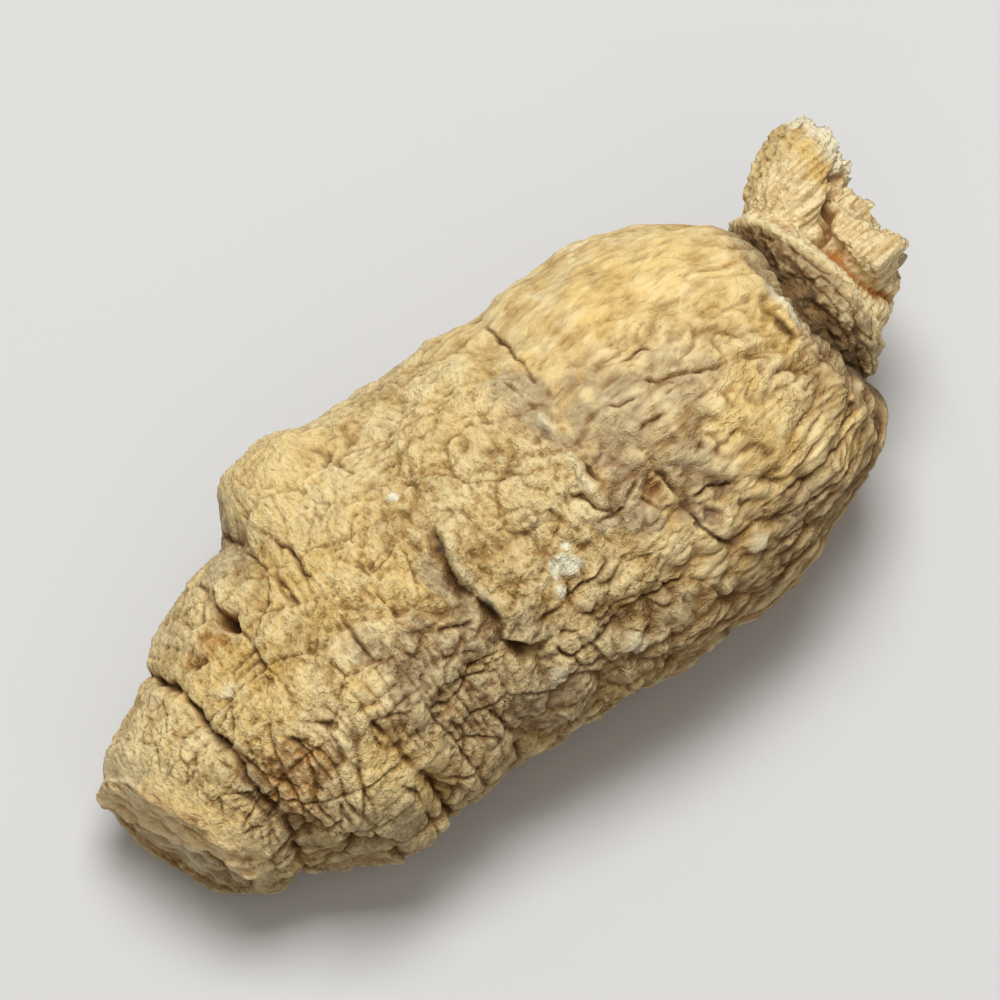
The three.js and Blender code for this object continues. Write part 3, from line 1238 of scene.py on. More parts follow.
@dataclass(frozen=True)
class TailCut:
    """The flat cut at the tail, with its worn rim and its browned, streaked face.

    Attributes:
        form: the smooth root.
        inset: how far the cut lies inside the form's last section.
        rim_rounds: rounds of settling that wear the sharp rim round.
        worn_ends: distance from the cut where that wear starts and where it is full.
        skin_ends: distance from the cut where the wrinkles start to end and have ended.
        face_ends: distance from the cut where its face starts and where it is full.
        face_slopes: how squarely a place of the face faces the same way, likewise.
        streak_seed: number of the field that makes the streaks of the face.
        streak_pitch: how many streaks there are in a millimetre along x, y and z.
        streak_depth: how far they go in.
        seam_drop: how far under the middle of the face its seam runs.
        seam_slope: how steeply the seam falls towards +Y.
        seam_breadth: half its width.
        lumps: the slow and the fine unevenness of the rim.
        cream_middle: middle of the lighter patch, as y and as height over the seam.
        cream_size: half its size the same way.
    """

    form: RootForm = RootForm()
    inset: float = 0.6
    rim_rounds: int = 22
    worn_ends: tuple[float, float] = (-1.5, -0.5)
    skin_ends: tuple[float, float] = (-2.2, -0.5)
    face_ends: tuple[float, float] = (-1.6, -0.4)
    face_slopes: tuple[float, float] = (0.45, 0.75)
    streak_seed: int = 71
    streak_pitch: Triple = (0.4, 0.25, 0.9)
    streak_depth: float = 0.4
    seam_drop: float = 0.2
    seam_slope: float = 0.28
    seam_breadth: float = 0.3
    lumps: tuple[Pattern, ...] = (Pattern(72, 1.6, strength=0.5), Pattern(73, 0.6, strength=0.2))
    cream_middle: tuple[float, float] = (-1.4, -1.2)
    cream_size: tuple[float, float] = (2.4, 0.8)

    def plane(self) -> tuple[Array, Array]:
        """Works out where the cut lies.

        Returns:
            The middle of the cut, in millimetres, and the way it faces.
        """
        tail = self.form.rings()[0]
        middle = np.array([tail.x + self.inset, tail.y, tail.z])
        facing = np.array([-1.0, -self.form.tail_skew, self.form.tail_lean])
        return middle, facing / np.linalg.norm(facing)

    def cut(self, piece: Piece) -> None:
        """Cuts the spare length off flat, as the knife did.

        Args:
            piece: the smooth root, longer than it should be.
        """
        middle, facing = self.plane()
        only(piece)
        bpy.ops.object.mode_set(mode="EDIT")
        bpy.ops.mesh.select_all(action="SELECT")
        bpy.ops.mesh.bisect(plane_co=middle * MM, plane_no=facing, use_fill=True, clear_outer=True)
        bpy.ops.object.mode_set(mode="OBJECT")

    def round_rim(self, piece: Piece) -> Array:
        """Wears the sharp rim of the cut round.

        Args:
            piece: the fine mesh, which is changed.

        Returns:
            The mesh's vertices, in millimetres.
        """
        middle, facing = self.plane()
        points = read_points(piece)
        links = read_links(piece)
        near = smooth_step((points - middle) @ facing, *self.worn_ends)
        for axis in range(3):
            worn = settle(points[:, axis], links, self.rim_rounds)
            points[:, axis] += near * (worn - points[:, axis])
        write_points(piece, points)
        return points

    def mark(self, points: Array, normals: Array, relief: Relief) -> None:
        """Ends the wrinkles at the rim of the cut and marks its face.

        Args:
            points: the fine mesh's vertices.
            normals: their normals.
            relief: what is changed.
        """
        middle, facing = self.plane()
        depth = (points - middle) @ facing
        rim = smooth_step(depth, *self.skin_ends)
        face = smooth_step(depth, *self.face_ends) * smooth_step(normals @ facing, *self.face_slopes)
        y, z = points[:, 1], points[:, 2]
        streak = Noise(self.streak_seed).layered(points * np.array(self.streak_pitch), 3, 0.7)
        above = z - middle[2] + self.seam_drop + self.seam_slope * y + 1.2 * streak
        seam = bell(above / self.seam_breadth)
        relief.height *= 1 - rim
        relief.height += rim * sum(pattern.at(points) for pattern in self.lumps)
        below = smooth_step(-above, 0, 0.8)
        relief.height += face * (self.streak_depth * streak - 0.35 * seam - 0.4 * below)
        relief.masks["crack"] *= 1 - rim
        relief.mark("crack", face * (0.7 * seam + 0.5 * smooth_step(-streak, 0.1, 0.4)))
        (cream_y, cream_up), (cream_wide, cream_high) = self.cream_middle, self.cream_size
        cream = face * bell((above - cream_up) / cream_high) * bell((y - cream_y) / cream_wide)
        relief.masks["cut"] = np.clip(face * (1.0 + 0.9 * streak) - cream, 0, 1)
        relief.mark("pale", 0.5 * cream)


@dataclass(frozen=True)
class MainRoot:
    """The skin of the main root, from the tail cut to the shoulder under the neck.

    Attributes:
        form: the smooth form under the skin.
        tail: the cut at the tail.
        fine: the fine mesh that takes the relief.
        sides: how many points each ring of the smooth form has.
        tail_spare: length at the tail that the cut takes off.
        tail_tight: width of the ring at the tail, as a share of its section's.
        shoulder: the rings that close the crown under the neck, as x and half width.
        pull: how far the shoulder is drawn back towards the tail, round the root.
        pull_ends: where that pull starts and where it is full.
        gap_ends: where the painted shade in the gap under the neck starts and where it is full.
    """

    form: RootForm = RootForm()
    tail: TailCut = TailCut()
    fine: FineMesh = FineMesh(0.14, 196000)
    sides: int = 32
    tail_spare: float = 4.0
    tail_tight: float = 0.92
    shoulder: Knots = ((21.5, 7.5), (21.8, 6.4), (21.6, 5.2), (20.8, 4.2))
    pull: Knots = ((24, 0.0), (59, 0.6), (74, 0.9), (105, 1.3), (138, 1.2), (151, 0.4), (200, 0.2))
    pull_ends: tuple[float, float] = (18.6, 21.4)
    gap_ends: tuple[float, float] = (21.3, 21.8)

    def build(self) -> Piece:
        """Models the root and lays it in the frame.

        Returns:
            The root's mesh object.
        """
        piece = self._cage()
        apply_modifier(piece, "SUBSURF", levels=2, render_levels=2)
        self.tail.cut(piece)
        self.fine.remesh(piece)
        self._wrinkle(piece)
        return piece

    def _cage(self) -> Piece:
        """Lofts the smooth form, longer than the root at the tail.

        Returns:
            The smooth form's mesh object.
        """
        form = self.form
        tail, *rings = [ring for ring in form.rings() if ring.x < form.crown_x]
        crown = rings[-1]
        tail = replace(tail, wide=self.tail_tight * tail.wide, high=self.tail_tight * tail.high)
        spare = replace(tail, x=tail.x - self.tail_spare)
        close = [Ring(x, crown.y, crown.z, w, w * form.flatness) for x, w in self.shoulder]
        return loft("root_skin", [spare, tail, *rings, *close], self.sides)

    def _wrinkle(self, piece: Piece) -> None:
        """Moves the fine mesh's vertices out by the skin's relief and thins it.

        Args:
            piece: the fine mesh, which is changed.
        """
        points = self.tail.round_rim(piece)
        normals = read_normals(piece)
        skin = Skin(self.form, points)
        relief = SkinRelief().build(skin)
        self.tail.mark(points, normals, relief)
        end = smooth_step(points[:, 0] + 0.5 * skin.wander[:, 0], *self.pull_ends)
        # The gap under the neck is painted near black and the shoulder under it grey: painted shade.
        relief.mark("crack", smooth_step(points[:, 0] + skin.wander[:, 1], *self.gap_ends))
        relief.mark("grey", 0.7 * smooth_step(end, 0.5, 1.0))
        points += normals * relief.height[:, None] + self.form.to_row
        points[:, 0] -= end * round_knots(skin.angle, self.pull)
        self.fine.finish(piece, self._pressed(points), relief)
        write_points(piece, self._pressed(read_points(piece)))

    @staticmethod
    def _pressed(points: Array) -> Array:
        """Presses all that is lower than the floor flat on it."""
        points[:, 2] = np.maximum(points[:, 2], 0.0)
        return points


# --- The neck stump ---


@dataclass(frozen=True)
class Groove:
    """A groove between the parts of the stump.

    Attributes:
        route: places that it runs through, as x and y, seen from above.
        depth: how far it goes in.
        breadth: half its width.
        rust: how much rust brown it holds; the rest is dark painted shade.
    """

    route: Knots
    depth: float
    breadth: float
    rust: float


@dataclass(frozen=True)
class StumpParts:
    """Which part of the stump each place belongs to, from 0 to 1.

    Attributes:
        x: place along the root, strayed a little so that no border is straight.
        y: place across it, strayed the same way.
        lean: place along the stump's own leaning axis.
        collar: the ringed collar.
        wood: the broken wood.
        frayed: the frayed tip of the lobe.
        folds: distance from the collar's rings, as a value of their field.
        rough: the collar's rough surface.
    """

    x: Array
    y: Array
    lean: Array
    collar: Array
    wood: Array
    frayed: Array
    folds: Array
    rough: Array


@dataclass(frozen=True)
class WoodBlock:
    """The block of wood that the broken neck left standing.

    Attributes:
        middle: place of its middle.
        size: its size along x, y and z.
        turn: how far it is turned about the vertical, in degrees.
        tip: how far it is tipped about the y axis, in degrees.
        taper: width of its +Y side over the other.
        edge: radius of its worn edges.
        border: how far outside its faces its wood ends, from fully wood to none.
    """

    middle: Triple = (27.1, -1.0, 15.0)
    size: Triple = (2.7, 4.4, 3.8)
    turn: float = 8.0
    tip: float = 4.0
    taper: float = 0.65
    edge: float = 0.5
    border: tuple[float, float] = (0.05, 0.3)

    def build(self) -> Piece:
        """Models the block.

        Returns:
            The block's mesh object.
        """
        middle = Vector(self.middle) * MM
        size = Vector(self.size)
        bpy.ops.object.select_all(action="DESELECT")
        bpy.ops.mesh.primitive_cube_add(size=MM, location=middle)
        block = bpy.context.object
        block.scale = size
        bpy.ops.object.mode_set(mode="EDIT")
        bpy.ops.mesh.select_all(action="DESELECT")
        bpy.ops.object.mode_set(mode="OBJECT")
        for face in block.data.polygons:
            face.select = face.normal.y > 0.5
        bpy.ops.object.mode_set(mode="EDIT")
        corner = middle + Vector((-size.x, size.y, 0)) * MM / 2
        bpy.ops.transform.resize(value=(self.taper, 1, 1), center_override=corner)
        bpy.ops.object.mode_set(mode="OBJECT")
        block.rotation_euler = (0, math.radians(self.tip), math.radians(self.turn))
        bpy.ops.object.transform_apply(location=True, rotation=True, scale=True)
        apply_modifier(block, "BEVEL", width=self.edge * MM, segments=3)
        return block

    def holds(self, points: Array) -> Array:
        """Tells how far each point belongs to the block.

        Args:
            points: the points, in millimetres.

        Returns:
            1 inside the block, falling to 0 outside it.
        """
        turn = math.radians(-self.turn)
        gap = points - np.array(self.middle)
        along = gap[:, 0] * math.cos(turn) - gap[:, 1] * math.sin(turn)
        across = gap[:, 0] * math.sin(turn) + gap[:, 1] * math.cos(turn)
        out = np.abs(np.stack([along, across, gap[:, 2]], 1)) - np.array(self.size) / 2
        return 1 - smooth_step(out.max(1), *self.border)


@dataclass(frozen=True)
class NeckStump:
    """The stump of the neck: its ringed collar, a lobe and a block of broken wood.

    Attributes:
        form: the smooth form of the root that it stands on.
        fine: the fine mesh that takes the relief.
        block: the block of wood.
        sides: how many points each ring has.
        core: the rings of the collar and of the wood that stands in it.
        lobe: the rings of the lobe beside the block.
        grooves: the grooves round the block.
        groove_floor: height under which the grooves end.
        strays: how the borders between the parts wander.
        fibres: the fibres of the broken wood.
        folds: the rings of the collar.
        rough: the rough surface of the collar.
        lumps: the slow unevenness of the whole stump.
        fray: the frayed tip of the lobe.
        bundle: the bundles that the fibres break off in.
        groove_stray: how the grooves wander.
        groove_patches: how the rust brown in a groove comes and goes.
        fibre_depth: depth of the fibres.
        slant: how far the collar leans towards the tail for each millimetre of y.
        rim: place of the collar's rim along the leaning axis.
        collar_ends: where the collar starts to end and where it has ended.
        torn_ends: where the torn wood starts and where it is full.
        torn_side: y beyond which the lobe keeps its bark.
        tip_ends: where the broken end starts and where it is full.
        fray_ends: the same for the frayed tip.
        fray_side: y where the frayed tip starts and where it is full.
        trench_ends: where the painted shade in the gap under the collar starts to end and has ended.
        broken_ends: where the broken bundles start and where they are full.
        soil_and_shade_heights: height where the darkening low on the stump, painted shade with some dirt, is
            full and where it has ended.
        pale_heights: height where the frayed tip starts to be white and where it is.
        rim_pale: how far past the collar's rim its pale edge runs.
        yellow_band: place of the lobe's yellow band along the root, and half its width.
        rust_spot: x and y of the lobe's rusty spot, and its radius.
    """

    form: RootForm = RootForm()
    fine: FineMesh = FineMesh(0.11, 90000)
    block: WoodBlock = WoodBlock()
    sides: int = 24
    core: tuple[Ring, ...] = (
        Ring(19.0, -0.6, 11.4, 4.8, 4.6),
        Ring(20.8, -0.5, 11.5, 4.9, 4.7),
        Ring(21.5, -0.4, 11.7, 5.2, 4.9),
        Ring(22.2, -0.3, 11.9, 6.2, 5.8),
        Ring(23.2, -0.2, 12.0, 6.6, 6.1),
        Ring(23.9, 0.2, 12.0, 6.2, 5.6),
        Ring(24.6, 0.4, 12.0, 5.6, 4.6),
        Ring(25.4, 0.4, 12.0, 5.1, 3.9),
        Ring(26.6, 0.3, 12.1, 4.8, 3.7),
        Ring(28.2, 0.9, 12.5, 4.1, 3.1),
        Ring(29.3, 1.2, 12.7, 3.1, 2.3),
    )
    lobe: tuple[Ring, ...] = (
        Ring(22.9, 2.6, 12.4, 2.6, 3.2),
        Ring(24.3, 3.6, 12.9, 3.2, 3.6),
        Ring(25.8, 4.3, 13.4, 3.5, 3.9),
        Ring(27.4, 5.2, 13.9, 3.3, 3.8),
        Ring(28.9, 5.6, 14.2, 3.0, 3.3),
        Ring(30.2, 5.7, 14.4, 2.3, 2.5),
    )
    grooves: tuple[Groove, ...] = (
        Groove(((25.1, 0.9), (25.4, -0.9), (25.3, -2.2), (25.8, -3.5), (26.8, -4.1)), 0.5, 0.34, 1.0),
        Groove(((25.1, 0.7), (26.5, 1.5), (28.0, 2.7), (29.2, 3.3)), 0.8, 0.3, 0.35),
    )
    groove_floor: float = 12.0
    strays: Pattern = Pattern(83, 1.3, strength=0.8)
    fibres: tuple[Pattern, ...] = (Pattern(85, 5.0, 0.3), Pattern(86, 7.0, 0.75, strength=1.3))
    folds: Pattern = Pattern(87, 0.7, 2.6)
    rough: Pattern = Pattern(89, 1.1, layers=3, gain=0.6)
    lumps: Pattern = Pattern(90, 2.2, strength=0.3)
    fray: Pattern = Pattern(88, 0.6, layers=3, gain=0.7)
    bundle: Pattern = Pattern(91, 40.0, 0.75)
    groove_stray: Pattern = Pattern(92, 0.6, strength=0.3)
    groove_patches: Pattern = Pattern(93, 0.7, layers=3, gain=0.6, strength=1.4)
    fibre_depth: float = 0.13
    slant: float = 0.14
    rim: float = 23.6
    collar_ends: tuple[float, float] = (23.1, 23.5)
    torn_ends: tuple[float, float] = (23.4, 23.7)
    torn_side: float = 6.2
    tip_ends: tuple[float, float] = (28.7, 29.4)
    fray_ends: tuple[float, float] = (28.4, 29.6)
    fray_side: tuple[float, float] = (2.8, 3.8)
    trench_ends: tuple[float, float] = (22.0, 22.8)
    broken_ends: tuple[float, float] = (27.0, 29.2)
    soil_and_shade_heights: tuple[float, float] = (9.0, 12.0)
    pale_heights: tuple[float, float] = (12.5, 14.5)
    rim_pale: float = 0.05
    yellow_band: tuple[float, float] = (28.0, 0.7)
    rust_spot: Triple = (28.6, 3.4, 0.7)

    def build(self) -> Piece:
        """Models the stump and lays it in the frame.

        Returns:
            The stump's mesh object.
        """
        parts = [loft("neck_stump", self.core, self.sides), loft("neck_lobe", self.lobe, self.sides)]
        for part in parts:
            apply_modifier(part, "SUBSURF", levels=2, render_levels=2)
        parts.append(self.block.build())
        only(*parts)
        bpy.ops.object.join()
        self.fine.remesh(parts[0])
        self._tear(parts[0])
        return parts[0]

    def _tear(self, piece: Piece) -> None:
        """Gives the collar its wrinkles and the broken wood its fibres.

        Args:
            piece: the stump's fine mesh, which is changed.
        """
        points = read_points(piece)
        normals = read_normals(piece)
        p = points.astype(np.float32)
        parts = self._parts(points, p)
        relief = Relief(self._height(p, parts), self._masks(points, parts))
        for groove in self.grooves:
            self._groove(p, relief, groove)
        points += normals * relief.height[:, None]
        broken = smooth_step(points[:, 0], *self.broken_ends)
        bundle = self.bundle.plates(p)[2]
        points[:, 0] += (bundle - 0.6) * (1.2 - 0.5 * parts.frayed) * broken
        self.fine.finish(piece, points + self.form.to_row, relief)

    def _parts(self, points: Array, p: Array) -> StumpParts:
        """Tells the collar, the wood and the frayed tip apart.

        Args:
            points: the fine mesh's vertices.
            p: the same, rounded, to read patterns at.

        Returns:
            How far each vertex belongs to each part.
        """
        x, y, _ = (points + self.strays.vector(p)).T
        lean = x + self.slant * y
        torn = smooth_step(lean, *self.torn_ends) * smooth_step(self.torn_side - y, -0.4, 0.4)
        wood = np.maximum(torn, smooth_step(x, *self.tip_ends))
        wood = np.clip(np.maximum(self.block.holds(points), wood), 0, 1)
        frayed = smooth_step(x, *self.fray_ends) * smooth_step(y, *self.fray_side)
        collar = 1 - smooth_step(lean, *self.collar_ends)
        folds, rough = np.abs(self.folds.at(p)), self.rough.at(p)
        return StumpParts(x, y, lean, collar, wood, frayed, folds, rough)

    def _height(self, p: Array, parts: StumpParts) -> Array:
        """Works out how far each place stands out.

        Args:
            p: the places.
            parts: which part each place belongs to.

        Returns:
            The height of each place over the smooth stump.
        """
        wood, frayed = parts.wood, parts.frayed
        fibre = sum(pattern.at(p) for pattern in self.fibres)
        height = wood * self.fibre_depth * fibre * (2.0 - frayed)
        height += (1 - wood) * (0.5 * parts.rough - 0.7 * np.clip(0.22 - parts.folds, 0, 1))
        height += self.lumps.at(p) + 0.4 * frayed * self.fray.at(p)
        height += 0.35 * bell((parts.lean - self.rim) / 0.35)
        return height.astype(np.float32)

    def _masks(self, points: Array, parts: StumpParts) -> dict[str, Array]:
        """Marks the painted shade with some dirt, the bark, the wood and its stains.

        Args:
            points: the places.
            parts: which part each place belongs to.

        Returns:
            The masks by name.
        """
        wood, collar, rough = parts.wood, parts.collar, parts.rough
        pits = smooth_step(-rough, 0.15, 0.5)
        # The gap under the collar is painted dark: painted shade.
        trench = 1 - smooth_step(parts.x + 0.9 * rough, *self.trench_ends)
        trench = trench * np.clip(0.85 + rough, 0.3, 1)
        # Pits and the collar's rings are darkened: dirt and painted shade.
        lines = np.maximum(0.5 * pits, 1.5 * (0.08 - parts.folds) / 0.08)
        lines = (0.3 + 0.7 * collar) * lines
        # Low on the stump, where it meets the root, it is darker: painted shade, with some dirt.
        full, ended = self.soil_and_shade_heights
        low = smooth_step(-points[:, 2], -ended, -full)
        worn = 0.65 * parts.frayed * smooth_step(points[:, 2] + rough, *self.pale_heights)
        band_x, band_half = self.yellow_band
        yellow = 1.2 * bell((parts.x - band_x) / band_half) * smooth_step(parts.y, 2.8, 3.6) * wood
        spot_x, spot_y, spot_radius = self.rust_spot
        spot = bell(np.hypot(parts.x - spot_x, parts.y - spot_y) / spot_radius)
        return {
            "crack": np.clip(np.maximum(trench, (1 - wood) * lines), 0, 1),
            "wood": wood,
            "soil_and_shade": np.clip(low + 0.3 * collar + 0.5 * trench, 0, 1),
            "grey": np.maximum(0.7 * collar, 0.2 * (1 - wood)),
            "pale": np.maximum(worn, 0.2 * bell((parts.lean - self.rim - self.rim_pale) / 0.25)),
            "ochre": np.maximum(yellow, 0.5 * (1 - wood) * (1 - collar)),
            "rust": 0.6 * spot,
        }

    def _groove(self, points: Array, relief: Relief, groove: Groove) -> None:
        """Sinks a groove into the stump.

        Args:
            points: the places of the relief.
            relief: what is changed.
            groove: the groove.
        """
        best = np.full(len(points), FAR)
        for start, stop in zip(groove.route, groove.route[1:]):
            start, run = np.array(start), np.array(stop) - np.array(start)
            gap = points[:, :2] - start
            t = np.clip(gap @ run / (run @ run), 0, 1)
            best = np.minimum(best, np.linalg.norm(gap - t[:, None] * run, axis=1))
        best = best + self.groove_stray.at(points) + 9.0 * (points[:, 2] < self.groove_floor)
        cut = bell(best / groove.breadth)
        relief.height -= groove.depth * cut
        # The bottom of the groove is darkened: painted shade, with rust brown where it holds rust.
        relief.mark("crack", (1 - 0.35 * groove.rust) * bell(best / (0.45 * groove.breadth)))
        patchy = np.clip(0.75 + self.groove_patches.at(points), 0.15, 1)
        relief.mark("amber", groove.rust * patchy * cut)


# --- Finishes ---


class Hue(Enum):
    """The colours of a dried root, as sRGB."""

    STRAW = "#e6cd93"
    TAN = "#ccad71"
    IVORY = "#f2e2b4"
    BUFF = "#f3e4b1"
    CREAM = "#f3e2b6"
    CHALK = "#f1efd6"
    DUST = "#ab8952"
    ASH = "#9e9078"
    YELLOW = "#e8c26a"
    HONEY = "#e6c06c"
    FIBRE = "#c99d55"
    CUT_BROWN = "#c48a4a"
    RUST = "#b57a30"
    AMBER = "#b0702a"
    # This brown paints shade on the low flank, under the collar and low on the stump, as well as dirt.
    SHADE_AND_SOIL = "#75572f"
    UMBER = "#735326"
    BROWN = "#735120"
    RUST_BLACK = "#5c3b13"
    # This near black paints shade in folds, cracks, gaps and holes, as well as dirt.
    SHADE_AND_SOIL_BLACK = "#2e1904"


def linear(colour: str) -> tuple[float, float, float, float]:
    """Turns an sRGB colour such as "#d9bd84" into a linear one.

    Args:
        colour: the colour's hex value.

    Returns:
        Linear red, green, blue and alpha.
    """
    parts = [int(colour[i : i + 2], 16) / 255 for i in (1, 3, 5)]
    red, green, blue = [p / 12.92 if p <= 0.04045 else ((p + 0.055) / 1.055) ** 2.4 for p in parts]
    return red, green, blue, 1.0


def add_node(
    tree: Tree,
    kind: str,
    settings: dict[str, object] | None = None,
    links: dict[str | int, object] | None = None,
) -> bpy.types.Node:
    """Adds a node with its settings, socket values and links.

    Args:
        tree: the node tree.
        kind: the node's type.
        settings: attributes set on the node itself.
        links: for each input, a socket to link from or a value to set.

    Returns:
        The new node.
    """
    node = tree.nodes.new(kind)
    for name, value in (settings or {}).items():
        setattr(node, name, value)
    for name, value in (links or {}).items():
        socket = node.inputs[name]
        if isinstance(value, Socket):
            tree.links.new(value, socket)
        else:
            socket.default_value = value
    return node


@dataclass(frozen=True)
class Cloud:
    """A cloudy pattern on the surface.

    Attributes:
        size: how big its blotches are, in millimetres.
        detail: how many finer sizes it holds.
        squeeze: how closely it is packed along the root; under 1 it is drawn out.
    """

    size: float
    detail: float
    squeeze: float = 1.0


@dataclass(frozen=True)
class Coat:
    """A colour that comes in as a pattern or a mask goes from one value to another.

    Attributes:
        source: name of the pattern or mask.
        low: value of the source where the colour starts.
        high: value where it is at its strongest.
        strength: how much it then covers.
        hue: the colour.
        within: name of a mask that limits it, if any.
    """

    source: str
    low: float
    high: float
    strength: float
    hue: Hue
    within: str = ""


@dataclass(frozen=True)
class DriedRootSkin:
    """Dried ginseng bark: a thin corky skin, washed and sun-dried.

    To the eye it is dull and dusty: pale straw on the ridges, brown to near black in the
    folds and cracks. The ridges are partly rubbed clean and partly a painted highlight;
    the folds and cracks partly hold dirt from the field and partly are painted shade.
    Where the neck broke, the wood under it shows as cream fibres.

    Attributes:
        name: the material's name.
        roughness: how matt it is.
        specular: how strongly it reflects.
        ground: the colour under all coats.
        coats: the coats, from the lowest to the topmost.
        clouds: the cloudy patterns, by name.
        cloud_roughness: strength of their finer sizes.
        masks: names of the masks that the meshes carry, beside the tones.
        hair_lines: value of the folded hair pattern where a line starts and is full.
        hair_dust: value of the mottle where such lines are full and where they end.
        bumps: depth of the finest grain, in millimetres, for each pattern; a pattern
            with a negative depth goes in where it is high.
    """

    name: str = "dried_ginseng_bark"
    roughness: float = 0.8
    specular: float = 0.3
    ground: Hue = Hue.STRAW
    coats: tuple[Coat, ...] = (
        Coat("patch", 0.55, 0.4, 0.9, Hue.TAN),
        Coat("cut", 0.0, 1.0, 0.9, Hue.CUT_BROWN),
        Coat("mottle", 0.5, 0.62, 0.6, Hue.IVORY),
        Coat("mottle", 0.49, 0.36, 0.55, Hue.DUST),
        Coat("tint", 0.05, 0.8, 0.55, Hue.IVORY),
        Coat("tint", -0.05, -0.8, 0.5, Hue.DUST),
        Coat("tint", -0.4, -1.0, 0.3, Hue.ASH),
        Coat("ochre", 0.0, 1.0, 0.5, Hue.YELLOW),
        Coat("grey", 0.0, 1.0, 0.85, Hue.ASH),
        # Darker on the low flank, the underside and low on the stump: painted shade, with some dirt.
        Coat("soil_and_shade", 0.0, 1.0, 0.75, Hue.SHADE_AND_SOIL),
        Coat("hair", 0.0, 1.0, 0.22, Hue.UMBER),
        Coat("wood", 0.0, 1.0, 1.0, Hue.CREAM),
        Coat("fibre", 0.42, 0.7, 1.0, Hue.FIBRE, "wood"),
        Coat("ochre", 0.0, 1.0, 0.8, Hue.HONEY, "wood"),
        Coat("rust", 0.0, 1.0, 0.7, Hue.RUST),
        Coat("mottle", 0.48, 0.6, 0.6, Hue.RUST_BLACK, "rust"),
        # The fold coats lighten the ridges and darken the folds: dirt rubbed off and left in, with a painted
        # highlight and painted shade.
        Coat("fold", 0.0, -0.6, 0.4, Hue.BUFF),
        Coat("grain", 0.52, 0.7, 0.4, Hue.UMBER),
        Coat("grain", 0.47, 0.32, 0.35, Hue.BUFF),
        Coat("fold", 0.0, 0.6, 0.5, Hue.BROWN),
        Coat("fold", 0.4, 0.95, 0.5, Hue.SHADE_AND_SOIL_BLACK),
        # The crack coats darken cracks, gaps and holes: dirt, and painted shade.
        Coat("crack", 0.05, 0.5, 0.3, Hue.RUST),
        Coat("crack", 0.2, 1.0, 0.78, Hue.SHADE_AND_SOIL_BLACK),
        Coat("amber", 0.0, 1.0, 0.9, Hue.AMBER),
        Coat("pale", 0.0, 1.0, 0.9, Hue.CHALK),
    )
    clouds: tuple[tuple[str, Cloud], ...] = (
        ("patch", Cloud(4.5, 3)),
        ("mottle", Cloud(2.2, 6)),
        ("streak", Cloud(0.8, 5, 0.4)),
        ("speck", Cloud(0.4, 4, 1.5)),
        ("hair", Cloud(0.9, 3, 0.7)),
        ("dust", Cloud(0.15, 2)),
        ("fibre", Cloud(0.3, 4, 0.07)),
    )
    cloud_roughness: float = 0.6
    masks: tuple[str, ...] = ("fold", "crack", "tint", "drawn", "fine", "soil_and_shade", "wood", "cut", "amber")
    hair_lines: tuple[float, float] = (0.44, 0.5)
    hair_dust: tuple[float, float] = (0.46, 0.58)
    bumps: tuple[tuple[str, float], ...] = (("dust", 0.05), ("grain", -0.28), ("hair", -0.06))

    def make(self) -> bpy.types.Material:
        """Builds the material.

        Returns:
            The material, ready to be put on a mesh.
        """
        material = bpy.data.materials.new(self.name)
        material.use_nodes = True
        tree = material.node_tree
        shader = tree.nodes["Principled BSDF"]
        sources = self._clouds(tree) | self._masks(tree)
        self._add_grain(tree, sources)
        tree.links.new(self._colour(tree, sources), shader.inputs["Base Color"])
        shader.inputs["Roughness"].default_value = self.roughness
        shader.inputs["Specular IOR Level"].default_value = self.specular
        tree.links.new(self._bumps(tree, sources), shader.inputs["Normal"])
        return material

    def _clouds(self, tree: Tree) -> dict[str, Socket]:
        """Adds the cloudy patterns.

        Args:
            tree: the material's node tree.

        Returns:
            Each pattern's socket by its name.
        """
        place = add_node(tree, "ShaderNodeTexCoord").outputs["Object"]
        sources = {}
        for name, cloud in self.clouds:
            links = {"Vector": place, "Scale": (cloud.squeeze, 1, 1)}
            links = {
                "Vector": add_node(tree, "ShaderNodeMapping", links=links).outputs[0],
                "Scale": 1 / (cloud.size * MM),
                "Detail": cloud.detail,
                "Roughness": self.cloud_roughness,
            }
            sources[name] = add_node(tree, "ShaderNodeTexNoise", links=links).outputs[0]
        return sources

    def _masks(self, tree: Tree) -> dict[str, Socket]:
        """Reads the masks that the meshes carry.

        Args:
            tree: the material's node tree.

        Returns:
            Each mask's socket by its name.
        """
        sources = {}
        for name in (*self.masks, *[tone.value for tone in Tone]):
            read = add_node(tree, "ShaderNodeAttribute", {"attribute_name": name})
            sources[name] = read.outputs["Fac"]
        return sources

    def _add_grain(self, tree: Tree, sources: dict[str, Socket]) -> None:
        """Adds the finest grain, and hair-fine cracks in dusty places.

        The grain is specks, and streaks where the skin is drawn out. A crack runs where a
        cloud has its middle value. They are drawn coarser than the real ones, which are
        too fine to show.

        Args:
            tree: the material's node tree.
            sources: the patterns and masks, to which "grain" and new "hair" are added.
        """
        links = {MIX_FACTOR: sources["drawn"]}
        links |= dict(zip(MIX_FLOATS, (sources["speck"], sources["streak"])))
        sources["grain"] = add_node(tree, "ShaderNodeMix", {"data_type": "FLOAT"}, links).outputs[0]
        links = {0: sources["hair"], 1: 0.5}
        line = add_node(tree, "ShaderNodeMath", {"operation": "PINGPONG"}, links).outputs[0]
        full, ended = self.hair_dust
        links = {"Value": sources["mottle"], "From Min": ended, "From Max": full}
        links |= {"To Max": sources["fine"]}
        dusty = add_node(tree, "ShaderNodeMapRange", links=links).outputs[0]
        start, full = self.hair_lines
        links = {"Value": line, "From Min": start, "From Max": full, "To Max": dusty}
        sources["hair"] = add_node(tree, "ShaderNodeMapRange", links=links).outputs[0]

